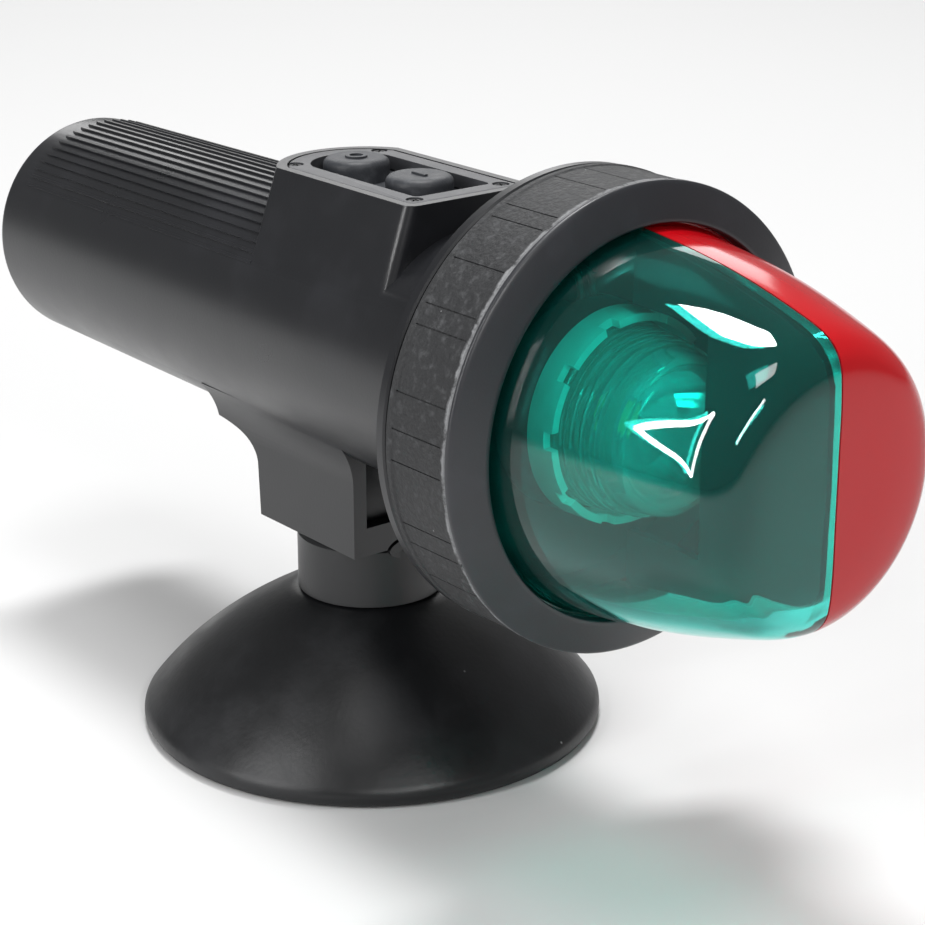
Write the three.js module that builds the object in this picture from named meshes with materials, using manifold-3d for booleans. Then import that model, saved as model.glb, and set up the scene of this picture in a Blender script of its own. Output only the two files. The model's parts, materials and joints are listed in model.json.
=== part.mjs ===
// Portable bow navigation light: a torch-like battery tube with a red and green lens in front,
// two switch buttons in a pod on top, and a suction-cup foot that snaps off the block below.
// Millimetres, +Z up. The lens points along -Y, green to port of the viewer who faces it (-X), red on +X.

import * as THREE from "three";
import { mergeVertices } from "three/addons/utils/BufferGeometryUtils.js";
import Module from "manifold-3d";

const wasm = await Module();
wasm.setup();

// ---------------------------------------------------------------- driving dimensions

const GAP = 0.3; // between neighbours that touch on the real light
const RUN = 0.2; // round pieces that slide in one another
const ROUND_STEPS = 48; // steps in a large circle
const SMALL_STEPS = 24; // steps in a small circle

// Suction-cup foot
const CUP_RADIUS = 40;
const CUP_DOME_HEIGHT = 23.5;
const CUP_LIP = 3; // height of the lip's rounded edge
const CUP_LIP_INSET = 0.4; // the lip's upper edge inside the widest part
const CUP_RIM_INSET = 1.5; // the contact face's outer edge inside the widest part
const CUP_SHOULDER_RADIUS = 31; // control point of the dome's curve
const CUP_SHOULDER_DROP = 9; // that point below the neck's foot
const CUP_RIM_FLAT = 3;
const CUP_HOLLOW_HEIGHT = 11;
const NECK_RADIUS = 12.6;
const FOOT_RADIUS = 9;
const FOOT_THICKNESS = 2.5;
const FOOT_STEM_RADIUS = 5.5;

// Block over the foot
const BLOCK_UNDERSIDE = 40; // above the deck
const BLOCK_DEPTH = 12.6; // underside to the battery bore
const BLOCK_HALF_WIDTH = 12.5;
const BLOCK_FRONT = 12.5; // ahead of the cup axis
const BLOCK_REAR = 15;
const BLOCK_WALL = 2.6;
const BLOCK_WINDOW_SILL = 4.9; // front bar under the catch window
const BLOCK_REAR_STEP = 2; // the socket's rear wall is thicker by this
const SOCKET_ROOF = 2; // wall between socket and battery bore
const WEB_LENGTH = 12; // sloping web behind the block
const TONGUE_CLEARANCE = 0.35;
const TONGUE_TOP_GAP = 0.6;
const LUG_HEIGHT = 1.8;
const LUG_RADIUS = 5;

// Batteries and their tube
const CELL_RADIUS = 17.1;
const CELL_LENGTH = 61.5;
const CELL_NUB_RADIUS = 4.7;
const CELL_NUB_HEIGHT = 1.5;
const CELL_CLEARANCE = 0.5;
const CONTACT_THICKNESS = 0.6;
const SPRING_LENGTH = 8;
const SPRING_WIRE = 0.6;
const SPRING_FRONT_RADIUS = 4;
const SPRING_REAR_RADIUS = 10;
const TUBE_END_WALL = 3;
const TUBE_REAR_WALL = 3.15;
const TUBE_FRONT_WALL = 4.5;
const TUBE_EDGE = 1.2;
const CELL_SETBACK = 3.9; // flange's rear face to the front cell's positive end
const STRIP_WIDTH = 5;
const STRIP_THICKNESS = 0.5;

// Grip ribs on the tube's top
const RIB_COUNT = 25;
const RIB_PITCH = 1.75;
const RIB_HEIGHT = 0.4;
const RIB_END_MARGIN = 6;

// Flange, spigot and screw ring
const FLANGE_INSET = 0.15; // inside the ring's outside
const FLANGE_THICKNESS = 2;
const FLANGE_REAR = 50.1; // ahead of the cup axis
const SPIGOT_RADIUS = 31.4;
const SPIGOT_WALL = 2;
const SPIGOT_LENGTH = 10.3;
const THREAD_PITCH = 3;
const THREAD_TURNS = 1.25;
const THREAD_ROD = 0.9;
const THREAD_CLEARANCE = 0.35;
const THREAD_START = 2.2; // flange's front face to the ridge's rear end
const GROOVE_REAR_TURNS = 1.2; // groove runs on past the ridge and out of the ring's rear edge
const GROOVE_FRONT_TURNS = 0.2;
const RING_BORE_CLEARANCE = 0.5;
const RING_WALL = 2.05;
const RING_GROOVE = 0.5; // dark line between ring and flange
const RING_FACE = 0.5; // lens flange to the ring's front outer edge
const RING_CONE = 2.4; // inner edge stands this far ahead of the outer one
const RING_OPENING_CLEARANCE = 0.7; // round the lens
const GRIP_THICKNESS = 1.9;
const GRIP_MARGIN = 0.6;

// Lens
const LENS_FLANGE_WIDTH = 2.3;
const LENS_FLANGE_THICKNESS = 2.3;
const LENS_LENGTH = 39.4; // ahead of the ring's outer edge
const LENS_WALL = 2.2;
// Outline as shares of the length ahead of the ring and of the root radius
const LENS_PROFILE = [
  [0.29, 0.952],
  [0.54, 0.889],
  [0.78, 0.802],
  [0.9, 0.744],
  [0.96, 0.679],
  [0.99, 0.59],
];
const GASKET_THICKNESS = 1.2;
const DIVIDER_THICKNESS = 1.4;

// Lamp inside the lens
const BULKHEAD_THICKNESS = 2;
const BULKHEAD_BOSS_RADIUS = 11;
const COLLAR_RADIUS = 16.4;
const COLLAR_WALL = 1.6;
const COLLAR_LENGTH = 14.9; // flange's front face to the collar's front
const COLLAR_FOOT_BORE = 9.4;
const COLLAR_FOOT_THICKNESS = 1.4;
const COLLAR_SCREW_INSET = 2.6; // from the collar's inner wall
const COLLAR_NOTCHES = 10;
const NOTCH_HALF_WIDTH = 1.3;
const NOTCH_DEPTH = 1.7;
const LED_BOARD_SETBACK = 6.6; // ahead of the collar's back
const LED_CHIP_HALF = 2.4;
const LED_CHIP_HEIGHT = 1.4;
const CAP_RING_RADIUS = 14.4;
const CAP_DOME_RADIUS = 12;
const CAP_REACH = 28.4; // flange's front face to the cap's crown
const CAP_WALL = 1.2;
const CAP_RINGS = 6;
const CAP_DOME_LENGTH = 6.5; // crown to the first ring
const REFLECTOR_RADIUS = 10;
const REFLECTOR_WALL = 0.7;
const REFLECTOR_THROAT = 2.6;

// Switch pod
const POD_DEPTH = 7.8; // pod's floor to its top face
const POD_HALF_WIDTH = 12.4;
const POD_FRONT = 28.2;
const POD_STRAIGHT_END = 7.5; // behind the cup axis
const POD_BULGE = 7.3;
const POD_CORNER = 2;
const POD_FLARE = 0.37; // side walls' run out per millimetre down
const POD_WALL = 1.5;
const POD_LEDGE = 1.6; // seat for the frame inside the wall
const POD_FLOOR = 1.4;
const FRAME_THICKNESS = 2.2;
const FRAME_BAND = 3.4;
const KEYPAD_THICKNESS = 1.2;
const BUTTON_MARGIN = 2; // round each button inside the frame's window
const BUTTON_SPACING = 17;
const BUTTON_CENTRE = 6; // middle of the pair, ahead of the cup axis
const BUTTON_PROUD = 1; // above the frame
const BUTTON_WALL = 1.2;
const BUTTON_TRAVEL = 1.2;
const BOARD_THICKNESS = 1;
const SWITCH_CLEARANCE = 1.1; // between a switch's corners and the button's inside
const SWITCH_HEIGHT = 2.2;
const PLUNGER_RADIUS = 1.3;
const SCREW_HEAD_RADIUS = 1.25;
const SCREW_SHANK_RADIUS = 0.7;
const SCREW_LENGTH = 4;
const COUNTERBORE_DEPTH = 1;
const PILLAR_WALL = 1.2; // round the screw
const PILLAR_ROOM = 1.5; // notch round the pillar in keypad and board
const WIRE_RADIUS = 0.6;
const DUCT_HALF_WIDTH = 3.4;
const DUCT_COVER = 1.1; // tube wall left over the wire duct

// ---------------------------------------------------------------- places along the lamp axis (+y is aft)

const boreRadius = CELL_RADIUS + CELL_CLEARANCE;
const tubeRearRadius = boreRadius + TUBE_REAR_WALL;
const tubeFrontRadius = boreRadius + TUBE_FRONT_WALL;
const blockDrop = boreRadius + BLOCK_DEPTH;
const axisHeight = BLOCK_UNDERSIDE + blockDrop;

const flangeRear = -FLANGE_REAR;
const flangeFront = flangeRear - FLANGE_THICKNESS;
const spigotFront = flangeFront - SPIGOT_LENGTH;
const cellFront = flangeRear + CELL_SETBACK;
const cellsRear = cellFront + 2 * CELL_LENGTH + GAP;
const boreEnd = cellsRear + SPRING_LENGTH + STRIP_THICKNESS + 2 * GAP;
const tubeEnd = boreEnd + TUBE_END_WALL;

const ringBore = SPIGOT_RADIUS + RING_BORE_CLEARANCE;
const ringShell = ringBore + RING_WALL;
const ringRadius = ringShell + GRIP_THICKNESS;
const flangeRadius = ringRadius - FLANGE_INSET;
const lensFlangeRadius = ringBore - GAP;
const lensRootRadius = lensFlangeRadius - LENS_FLANGE_WIDTH;
const ringOpening = lensRootRadius + RING_OPENING_CLEARANCE;

const gasketBack = spigotFront - GAP;
const gasketFront = gasketBack - GASKET_THICKNESS;
const lensFlangeBack = gasketFront - GAP;
const lensFlangeFront = lensFlangeBack - LENS_FLANGE_THICKNESS;
const ringRear = flangeFront - RING_GROOVE;
const ringFront = lensFlangeFront - RING_FACE;
const lensFront = ringFront - LENS_LENGTH;
const cupY = -(tubeEnd + lensFront) / 2; // puts the origin under the middle of the whole light

const collarFront = flangeFront - COLLAR_LENGTH;
const capFront = flangeFront - CAP_REACH;

const podFloor = boreRadius + POD_FLOOR;
const podTop = podFloor + POD_DEPTH;
const podInset = POD_WALL + POD_LEDGE;
const buttonRadius = POD_HALF_WIDTH - POD_WALL - FRAME_BAND - BUTTON_MARGIN;
const switchSize = Math.SQRT2 * (buttonRadius - BUTTON_WALL - SWITCH_CLEARANCE);

// ---------------------------------------------------------------- shape helpers

/** A manifold solid from a closed three.js geometry. */
function solid(geometry) {
  geometry.deleteAttribute("normal");
  geometry.deleteAttribute("uv");
  const merged = mergeVertices(geometry, 1e-4);
  const made = new wasm.Manifold(
    new wasm.Mesh({
      numProp: 3,
      vertProperties: new Float32Array(merged.attributes.position.array),
      triVerts: new Uint32Array(merged.index.array),
    }),
  );
  if (made.volume() < 0) throw new Error("a shape is inside out");
  return made;
}

/** A three.js geometry from a manifold solid. */
function geometryOf(body) {
  const mesh = body.getMesh();
  return new THREE.BufferGeometry()
    .setAttribute("position", new THREE.BufferAttribute(mesh.vertProperties, 3))
    .setIndex(new THREE.BufferAttribute(mesh.triVerts, 1));
}

/** Turns [radius, height] points round the lathe's own +Y axis; the outline closes itself. */
function lathe(points, steps = ROUND_STEPS) {
  let area = 0;
  points.forEach(([r, y], i) => {
    const [nextR, nextY] = points[(i + 1) % points.length];
    area += r * nextY - nextR * y;
  });
  const outline = area < 0 ? [...points].reverse() : [...points];
  const onAxis = points.some(([r]) => r === 0);
  if (onAxis) {
    while (outline[0][0] !== 0 || outline[outline.length - 1][0] !== 0) outline.push(outline.shift());
  } else {
    outline.push(outline[0]);
  }
  return new THREE.LatheGeometry(
    outline.map(([r, y]) => new THREE.Vector2(r, y)),
    steps,
  );
}

/** A disc or tube about the lamp axis between two places. */
function ringAlong(outer, inner, from, to, steps = ROUND_STEPS) {
  const [low, high] = [Math.min(from, to), Math.max(from, to)];
  const outline = [
    [outer, low],
    [outer, high],
    [inner, high],
    [inner, low],
  ];
  return lathe(outline, steps);
}

/** An upright turned piece: [radius, z] points about +Z. */
function upright(points, steps = ROUND_STEPS) {
  return lathe(points, steps).rotateX(Math.PI / 2);
}

/** A block between two corners. */
function block(x0, x1, y0, y1, z0, z1) {
  return new THREE.BoxGeometry(x1 - x0, y1 - y0, z1 - z0).translate(
    (x0 + x1) / 2,
    (y0 + y1) / 2,
    (z0 + z1) / 2,
  );
}

/** An outline in plan (x, y) raised from one height to another. */
function raised(shape, z0, z1, curveSegments = 10) {
  return new THREE.ExtrudeGeometry(shape, {
    depth: z1 - z0,
    bevelEnabled: false,
    curveSegments,
  }).translate(0, 0, z0);
}

/** An outline in side view (y, z) widened from one x to another. */
function sideways(shape, x0, x1, curveSegments = 10) {
  const made = new THREE.ExtrudeGeometry(shape, { depth: x1 - x0, bevelEnabled: false, curveSegments });
  return made.rotateX(Math.PI / 2).rotateZ(Math.PI / 2).translate(x0, 0, 0);
}

/** An outline in front view (x, z) carried aft from one y to another. */
function lengthways(shape, y0, y1, curveSegments = 10) {
  return new THREE.ExtrudeGeometry(shape, { depth: y1 - y0, bevelEnabled: false, curveSegments })
    .rotateX(Math.PI / 2)
    .translate(0, y1, 0);
}

/** A closed tube of a round section along a curve. */
function wireAlong(curve, radius, steps, sides = 8) {
  const section = new THREE.Shape(
    Array.from({ length: sides }, (_, i) => {
      const angle = (2 * Math.PI * i) / sides;
      return new THREE.Vector2(radius * Math.cos(angle), radius * Math.sin(angle));
    }),
  );
  return new THREE.ExtrudeGeometry(section, { steps, extrudePath: curve, bevelEnabled: false });
}

/** A helix about the lamp axis whose radius and place change evenly along its turns. */
class LampHelix extends THREE.Curve {
  constructor(startRadius, endRadius, startY, endY, turns, startAngle = 0) {
    super();
    Object.assign(this, { startRadius, endRadius, startY, endY, turns, startAngle });
  }

  getPoint(t, target = new THREE.Vector3()) {
    const radius = THREE.MathUtils.lerp(this.startRadius, this.endRadius, t);
    const angle = this.startAngle + 2 * Math.PI * this.turns * t;
    const y = THREE.MathUtils.lerp(this.startY, this.endY, t);
    return target.set(radius * Math.sin(angle), y, radius * Math.cos(angle));
  }
}

/** The pod's plan outline, drawn in from its outer edge by a margin. */
function podOutline(margin) {
  const half = POD_HALF_WIDTH - margin;
  const front = -POD_FRONT + margin;
  const corner = Math.max(POD_CORNER - margin, 0.4);
  const bulge = POD_BULGE - margin * 0.3;
  const end = POD_STRAIGHT_END - margin * 0.7;
  const shape = new THREE.Shape();
  shape.moveTo(-half + corner, front);
  shape.lineTo(half - corner, front);
  shape.quadraticCurveTo(half, front, half, front + corner);
  shape.lineTo(half, end);
  const radius = (half * half + bulge * bulge) / (2 * bulge);
  const centreY = end + bulge - radius;
  const spread = Math.asin(half / radius);
  const arcSteps = 12;
  for (let i = 1; i <= arcSteps; i++) {
    const angle = spread - (2 * spread * i) / arcSteps;
    shape.lineTo(radius * Math.sin(angle), centreY + radius * Math.cos(angle));
  }
  shape.lineTo(-half, front + corner);
  shape.quadraticCurveTo(-half, front, -half + corner, front);
  return shape;
}

/** A circle in plan as a shape. */
function disc(x, y, radius) {
  return new THREE.Shape().absarc(x, y, radius, 0, 2 * Math.PI, false);
}

// ---------------------------------------------------------------- assembly helpers

const root = new THREE.Group();
root.name = "navigation_light";
const foot = new THREE.Group();
foot.position.set(0, cupY, 0);
const lamp = new THREE.Group();
lamp.position.set(0, cupY, axisHeight);
root.add(foot, lamp);

const FINISH = {
  black: { color: 0x2d2e32, roughness: 0.4, metalness: 0 },
  rubber: { color: 0x232426, roughness: 0.75, metalness: 0 },
  green: { color: 0x0a9c84, roughness: 0.08, metalness: 0 },
  red: { color: 0xb3272c, roughness: 0.08, metalness: 0 },
  white: { color: 0xe8ebea, roughness: 0.45, metalness: 0 },
  clear: { color: 0xdfe8e8, roughness: 0.05, metalness: 0 },
  chrome: { color: 0xd8dadd, roughness: 0.12, metalness: 1 },
  steel: { color: 0xb4b6b8, roughness: 0.35, metalness: 1 },
  nickel: { color: 0xc2beb2, roughness: 0.3, metalness: 1 },
  board: { color: 0x1f5a3a, roughness: 0.5, metalness: 0 },
  amber: { color: 0xe8c24a, roughness: 0.3, metalness: 0 },
  cell: { color: 0x3a3f46, roughness: 0.35, metalness: 0.3 },
  redWire: { color: 0xa3201e, roughness: 0.5, metalness: 0 },
  blackWire: { color: 0x1a1a1c, roughness: 0.5, metalness: 0 },
};

/** Names a geometry or a solid as one piece of the light and hangs it in its group. */
function piece(group, name, shape, finish) {
  const geometry = shape.getMesh ? geometryOf(shape) : shape;
  const mesh = new THREE.Mesh(geometry, new THREE.MeshStandardMaterial(FINISH[finish]));
  mesh.name = name;
  group.add(mesh);
  return mesh;
}

// ---------------------------------------------------------------- suction-cup foot

const postTop = axisHeight - blockDrop - GAP;
const footBottom = CUP_HOLLOW_HEIGHT + 2.5;

function cupDome() {
  const lipRadius = CUP_RADIUS - CUP_LIP_INSET;
  const start = new THREE.Vector2(lipRadius, CUP_LIP);
  const end = new THREE.Vector2(NECK_RADIUS, CUP_DOME_HEIGHT);
  const control = new THREE.Vector2(CUP_SHOULDER_RADIUS, CUP_DOME_HEIGHT - CUP_SHOULDER_DROP);
  return new THREE.QuadraticBezierCurve(start, control, end).getPoints(9).map((p) => [p.x, p.y]);
}

function cupHollow() {
  const edge = new THREE.Vector2(CUP_RADIUS - CUP_RIM_INSET - CUP_RIM_FLAT, 0);
  const middle = new THREE.Vector2(0, CUP_HOLLOW_HEIGHT);
  const control = new THREE.Vector2(edge.x * 0.55, CUP_HOLLOW_HEIGHT);
  return new THREE.QuadraticBezierCurve(middle, control, edge).getPoints(7).map((p) => [p.x, p.y]);
}

function suctionCup() {
  const body = upright([
    ...cupHollow(),
    [CUP_RADIUS - CUP_RIM_INSET, 0],
    [CUP_RADIUS, CUP_LIP / 2],
    ...cupDome(),
    [0, CUP_DOME_HEIGHT],
  ]);
  const foothold = upright(
    [
      [0, footBottom],
      [FOOT_RADIUS + GAP, footBottom],
      [FOOT_RADIUS + GAP, footBottom + FOOT_THICKNESS + 2 * GAP],
      [FOOT_STEM_RADIUS + GAP, footBottom + FOOT_THICKNESS + 2 * GAP],
      [FOOT_STEM_RADIUS + GAP, CUP_DOME_HEIGHT + 1],
      [0, CUP_DOME_HEIGHT + 1],
    ],
    SMALL_STEPS,
  );
  return solid(body).subtract(solid(foothold));
}

const tongueHalfWidth = BLOCK_HALF_WIDTH - BLOCK_WALL - TONGUE_CLEARANCE;
const tongueFront = -(BLOCK_FRONT - BLOCK_WALL - TONGUE_CLEARANCE);
const tongueRear = BLOCK_REAR - BLOCK_WALL - BLOCK_REAR_STEP - TONGUE_CLEARANCE;
const socketTop = -(boreRadius + SOCKET_ROOF);
const tongueTop = axisHeight + socketTop - TONGUE_TOP_GAP;

function mountPost() {
  const post = upright([
    [0, footBottom + GAP],
    [FOOT_RADIUS, footBottom + GAP],
    [FOOT_RADIUS, footBottom + GAP + FOOT_THICKNESS],
    [FOOT_STEM_RADIUS, footBottom + GAP + FOOT_THICKNESS],
    [FOOT_STEM_RADIUS, CUP_DOME_HEIGHT + GAP],
    [NECK_RADIUS, CUP_DOME_HEIGHT + GAP],
    [NECK_RADIUS, postTop - 0.6],
    [NECK_RADIUS - 0.6, postTop],
    [0, postTop],
  ]);
  const reach = Math.min(tongueHalfWidth, NECK_RADIUS - 3);
  const tongue = block(-reach, reach, tongueFront, tongueRear, postTop - 1, tongueTop);
  const core = block(-reach + 2, reach - 2, tongueFront + 2, tongueRear - 2, postTop + 1, tongueTop + 1);
  const lug = new THREE.CylinderGeometry(LUG_RADIUS, LUG_RADIUS, 3, SMALL_STEPS)
    .scale(1, 1, LUG_HEIGHT / LUG_RADIUS)
    .translate(0, -NECK_RADIUS + 1.8, postTop - 0.3);
  return solid(post).add(solid(tongue)).add(solid(lug)).subtract(solid(core));
}

piece(foot, "suction_cup", suctionCup(), "rubber");
piece(foot, "mount_post", mountPost(), "black");

// ---------------------------------------------------------------- housing

function tubeAndSpigot() {
  return lathe([
    [0, tubeEnd],
    [tubeRearRadius - TUBE_EDGE, tubeEnd],
    [tubeRearRadius - 0.3 * TUBE_EDGE, tubeEnd - 0.3 * TUBE_EDGE],
    [tubeRearRadius, tubeEnd - TUBE_EDGE],
    [tubeFrontRadius, flangeRear],
    [flangeRadius, flangeRear],
    [flangeRadius, flangeFront],
    [SPIGOT_RADIUS, flangeFront],
    [SPIGOT_RADIUS, spigotFront],
    [0, spigotFront],
  ]);
}

/** Everything hollow inside the tube and the spigot. */
function tubeHollow() {
  return lathe([
    [0, boreEnd],
    [boreRadius, boreEnd],
    [boreRadius, flangeFront],
    [SPIGOT_RADIUS - SPIGOT_WALL, flangeFront],
    [SPIGOT_RADIUS - SPIGOT_WALL, spigotFront - 1],
    [0, spigotFront - 1],
  ]);
}

/** The tube's outer radius at a place along it. */
function tubeRadiusAt(y) {
  const share = (y - flangeRear) / (tubeEnd - flangeRear);
  return THREE.MathUtils.lerp(tubeFrontRadius, tubeRearRadius, share);
}

function podOuter() {
  const bottom = boreRadius * 0.4;
  const shell = raised(podOutline(0), bottom, podTop);
  const position = shell.attributes.position;
  for (let i = 0; i < position.count; i++) {
    const widening = 1 + (POD_FLARE * (podTop - position.getZ(i))) / POD_HALF_WIDTH;
    position.setX(i, position.getX(i) * widening);
  }
  return shell;
}

const frameBottom = podTop - FRAME_THICKNESS;

function podHollow() {
  const rebate = solid(raised(podOutline(POD_WALL), frameBottom - GAP, podTop + 1));
  const well = solid(raised(podOutline(podInset), podFloor, podTop));
  return rebate.add(well);
}

function mountBlock() {
  const front = -BLOCK_FRONT;
  const top = -boreRadius * 0.8;
  const neckLine = -(tubeFrontRadius + 0.5);
  const across = new THREE.Shape();
  across.moveTo(-BLOCK_HALF_WIDTH, -blockDrop);
  across.lineTo(BLOCK_HALF_WIDTH, -blockDrop);
  across.lineTo(BLOCK_HALF_WIDTH, neckLine);
  across.quadraticCurveTo(BLOCK_HALF_WIDTH + 0.2, neckLine + 4.5, BLOCK_HALF_WIDTH + 3.7, top);
  across.lineTo(-BLOCK_HALF_WIDTH - 3.7, top);
  across.quadraticCurveTo(-BLOCK_HALF_WIDTH - 0.2, neckLine + 4.5, -BLOCK_HALF_WIDTH, neckLine);
  const along = new THREE.Shape();
  along.moveTo(front, -blockDrop);
  along.lineTo(BLOCK_REAR, -blockDrop);
  along.lineTo(BLOCK_REAR + 0.5, neckLine - 3.5);
  along.quadraticCurveTo(BLOCK_REAR + 1.5, neckLine + 1, BLOCK_REAR + WEB_LENGTH, neckLine + 2);
  along.lineTo(BLOCK_REAR + WEB_LENGTH, top);
  along.lineTo(front, top);
  const long = solid(lengthways(across, front - 1, BLOCK_REAR + WEB_LENGTH, 6));
  return long.intersect(solid(sideways(along, -BLOCK_HALF_WIDTH - 5, BLOCK_HALF_WIDTH + 5, 6)));
}

function mountSocket() {
  const half = BLOCK_HALF_WIDTH - BLOCK_WALL;
  const front = -(BLOCK_FRONT - BLOCK_WALL);
  const rear = tongueRear + TONGUE_CLEARANCE;
  const cavity = solid(block(-half, half, front, rear, -blockDrop - 1, socketTop));
  const window = solid(
    block(-half, half, -BLOCK_FRONT - 2, front + 1, -blockDrop + BLOCK_WINDOW_SILL, socketTop + 0.6),
  );
  const notch = solid(
    new THREE.CylinderGeometry(LUG_RADIUS + 0.8, LUG_RADIUS + 0.8, BLOCK_WALL + 3, SMALL_STEPS)
      .scale(1, 1, (LUG_HEIGHT + 0.6) / (LUG_RADIUS + 0.8))
      .translate(0, -BLOCK_FRONT, -blockDrop - 0.4),
  );
  return cavity.add(window).add(notch);
}

/** One fine grip rib along the tube, turned to its place on the tube's top. */
function gripRib(index) {
  const from = POD_STRAIGHT_END;
  const to = tubeEnd - RIB_END_MARGIN;
  const middle = (from + to) / 2;
  const lean = Math.atan2(tubeFrontRadius - tubeRearRadius, tubeEnd - flangeRear);
  const section = new THREE.Shape();
  section.moveTo(-0.55, -0.6);
  section.lineTo(0.55, -0.6);
  section.lineTo(0.25, RIB_HEIGHT);
  section.lineTo(-0.25, RIB_HEIGHT);
  const turn = ((index - (RIB_COUNT - 1) / 2) * RIB_PITCH) / tubeRadiusAt(middle);
  return lengthways(section, -(to - from) / 2, (to - from) / 2)
    .rotateX(-lean)
    .translate(0, middle, tubeRadiusAt(middle))
    .rotateY(turn);
}

const ductTop = tubeFrontRadius - DUCT_COVER;

/** The passage that takes the switch wires forward through the tube's wall to the spigot. */
function wireDuct() {
  const rear = -POD_FRONT + POD_WALL + 2;
  return block(-DUCT_HALF_WIDTH, DUCT_HALF_WIDTH, flangeFront - 1, rear, podFloor, ductTop);
}

const stripOuter = boreRadius + STRIP_THICKNESS + 0.3;

/** The channel along the bore for the return strip, on the red side. */
function stripChannel() {
  const half = STRIP_WIDTH / 2 + 0.3;
  return block(boreRadius - 2, stripOuter + GAP, flangeFront - 1, boreEnd - GAP / 2, -half, half);
}

/** A round rod along the right-hand thread, run on past the ridge's rear and front ends. */
function threadRod(rod, rearTurns, frontTurns) {
  const turns = rearTurns + THREAD_TURNS + frontTurns;
  const start = flangeFront - THREAD_START + rearTurns * THREAD_PITCH;
  const end = start - turns * THREAD_PITCH;
  const helix = new LampHelix(SPIGOT_RADIUS, SPIGOT_RADIUS, start, end, -turns, 2 * Math.PI * rearTurns);
  return solid(wireAlong(helix, rod, Math.round(turns * 40), 8));
}

function screwPlaces() {
  const inset = POD_WALL + FRAME_BAND / 2 + 0.2;
  const x = POD_HALF_WIDTH - inset - 0.4;
  return [
    [-x, -POD_FRONT + inset + 0.4],
    [x, -POD_FRONT + inset + 0.4],
    [-x, POD_STRAIGHT_END + 0.2],
    [x, POD_STRAIGHT_END + 0.2],
  ];
}

function housing() {
  let body = solid(tubeAndSpigot()).add(solid(podOuter())).add(mountBlock());
  for (let i = 0; i < RIB_COUNT; i++) body = body.add(solid(gripRib(i)));
  body = body.add(threadRod(THREAD_ROD, 0, 0));
  body = body.subtract(solid(tubeHollow())).subtract(podHollow()).subtract(mountSocket());
  body = body.subtract(solid(wireDuct())).subtract(solid(stripChannel()));
  const pillarBottom = podFloor - 0.2;
  const pillarTop = frameBottom - GAP;
  for (const [x, y] of screwPlaces()) {
    const pillar = raised(disc(x, y, SCREW_SHANK_RADIUS + PILLAR_WALL), pillarBottom, pillarTop, 6);
    const hole = raised(disc(x, y, SCREW_SHANK_RADIUS + 0.1), pillarTop - SCREW_LENGTH, pillarTop + 1, 6);
    body = body.add(solid(pillar)).subtract(solid(hole));
  }
  return body;
}

piece(lamp, "housing", housing(), "black");

// ---------------------------------------------------------------- batteries and contacts

/** One cell, positive nub forward, its front end at the given place. */
function cell(front) {
  const rear = front + CELL_LENGTH;
  return lathe(
    [
      [0, front],
      [CELL_NUB_RADIUS, front],
      [CELL_NUB_RADIUS, front + CELL_NUB_HEIGHT],
      [CELL_RADIUS - 1, front + CELL_NUB_HEIGHT],
      [CELL_RADIUS, front + CELL_NUB_HEIGHT + 1],
      [CELL_RADIUS, rear - 0.6],
      [CELL_RADIUS - 0.6, rear],
      [0, rear],
    ],
    48,
  );
}

function tailSpring() {
  const turns = 4;
  const start = cellsRear + GAP + SPRING_WIRE;
  const end = boreEnd - STRIP_THICKNESS - 2 * GAP - SPRING_WIRE;
  const coil = new LampHelix(SPRING_FRONT_RADIUS, SPRING_REAR_RADIUS, start, end, turns);
  return wireAlong(coil, SPRING_WIRE, turns * 20);
}

/** The return strip: along the bore's channel, then across behind the spring. */
function contactStrip() {
  const half = STRIP_WIDTH / 2;
  const back = boreEnd - GAP;
  const run = block(stripOuter - STRIP_THICKNESS, stripOuter, flangeRear, back, -half, half);
  const foot = block(-SPRING_REAR_RADIUS - 1, stripOuter, back - STRIP_THICKNESS, back, -half, half);
  return solid(run).add(solid(foot));
}

const contactBack = cellFront - GAP;

function frontContact() {
  const stud = BULKHEAD_BOSS_RADIUS * 0.12;
  return lathe(
    [
      [0, contactBack],
      [CELL_NUB_RADIUS + 1, contactBack],
      [CELL_NUB_RADIUS + 1, contactBack - CONTACT_THICKNESS],
      [stud, contactBack - CONTACT_THICKNESS],
      [stud, flangeFront - BULKHEAD_THICKNESS - 1.2],
      [0, flangeFront - BULKHEAD_THICKNESS - 1.2],
    ],
    SMALL_STEPS,
  );
}

piece(lamp, "battery_front", cell(cellFront), "cell");
piece(lamp, "battery_rear", cell(cellFront + CELL_LENGTH + GAP), "cell");
piece(lamp, "tail_spring", tailSpring(), "steel");
piece(lamp, "contact_strip", contactStrip(), "nickel");
piece(lamp, "front_contact", frontContact(), "nickel");

// ---------------------------------------------------------------- lamp unit in front of the bulkhead

const bulkheadBack = flangeFront - GAP;
const bulkheadFront = bulkheadBack - BULKHEAD_THICKNESS;
const collarBack = bulkheadFront - GAP;
const collarBore = COLLAR_RADIUS - COLLAR_WALL;
const collarScrewX = collarBore - COLLAR_SCREW_INSET;

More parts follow.
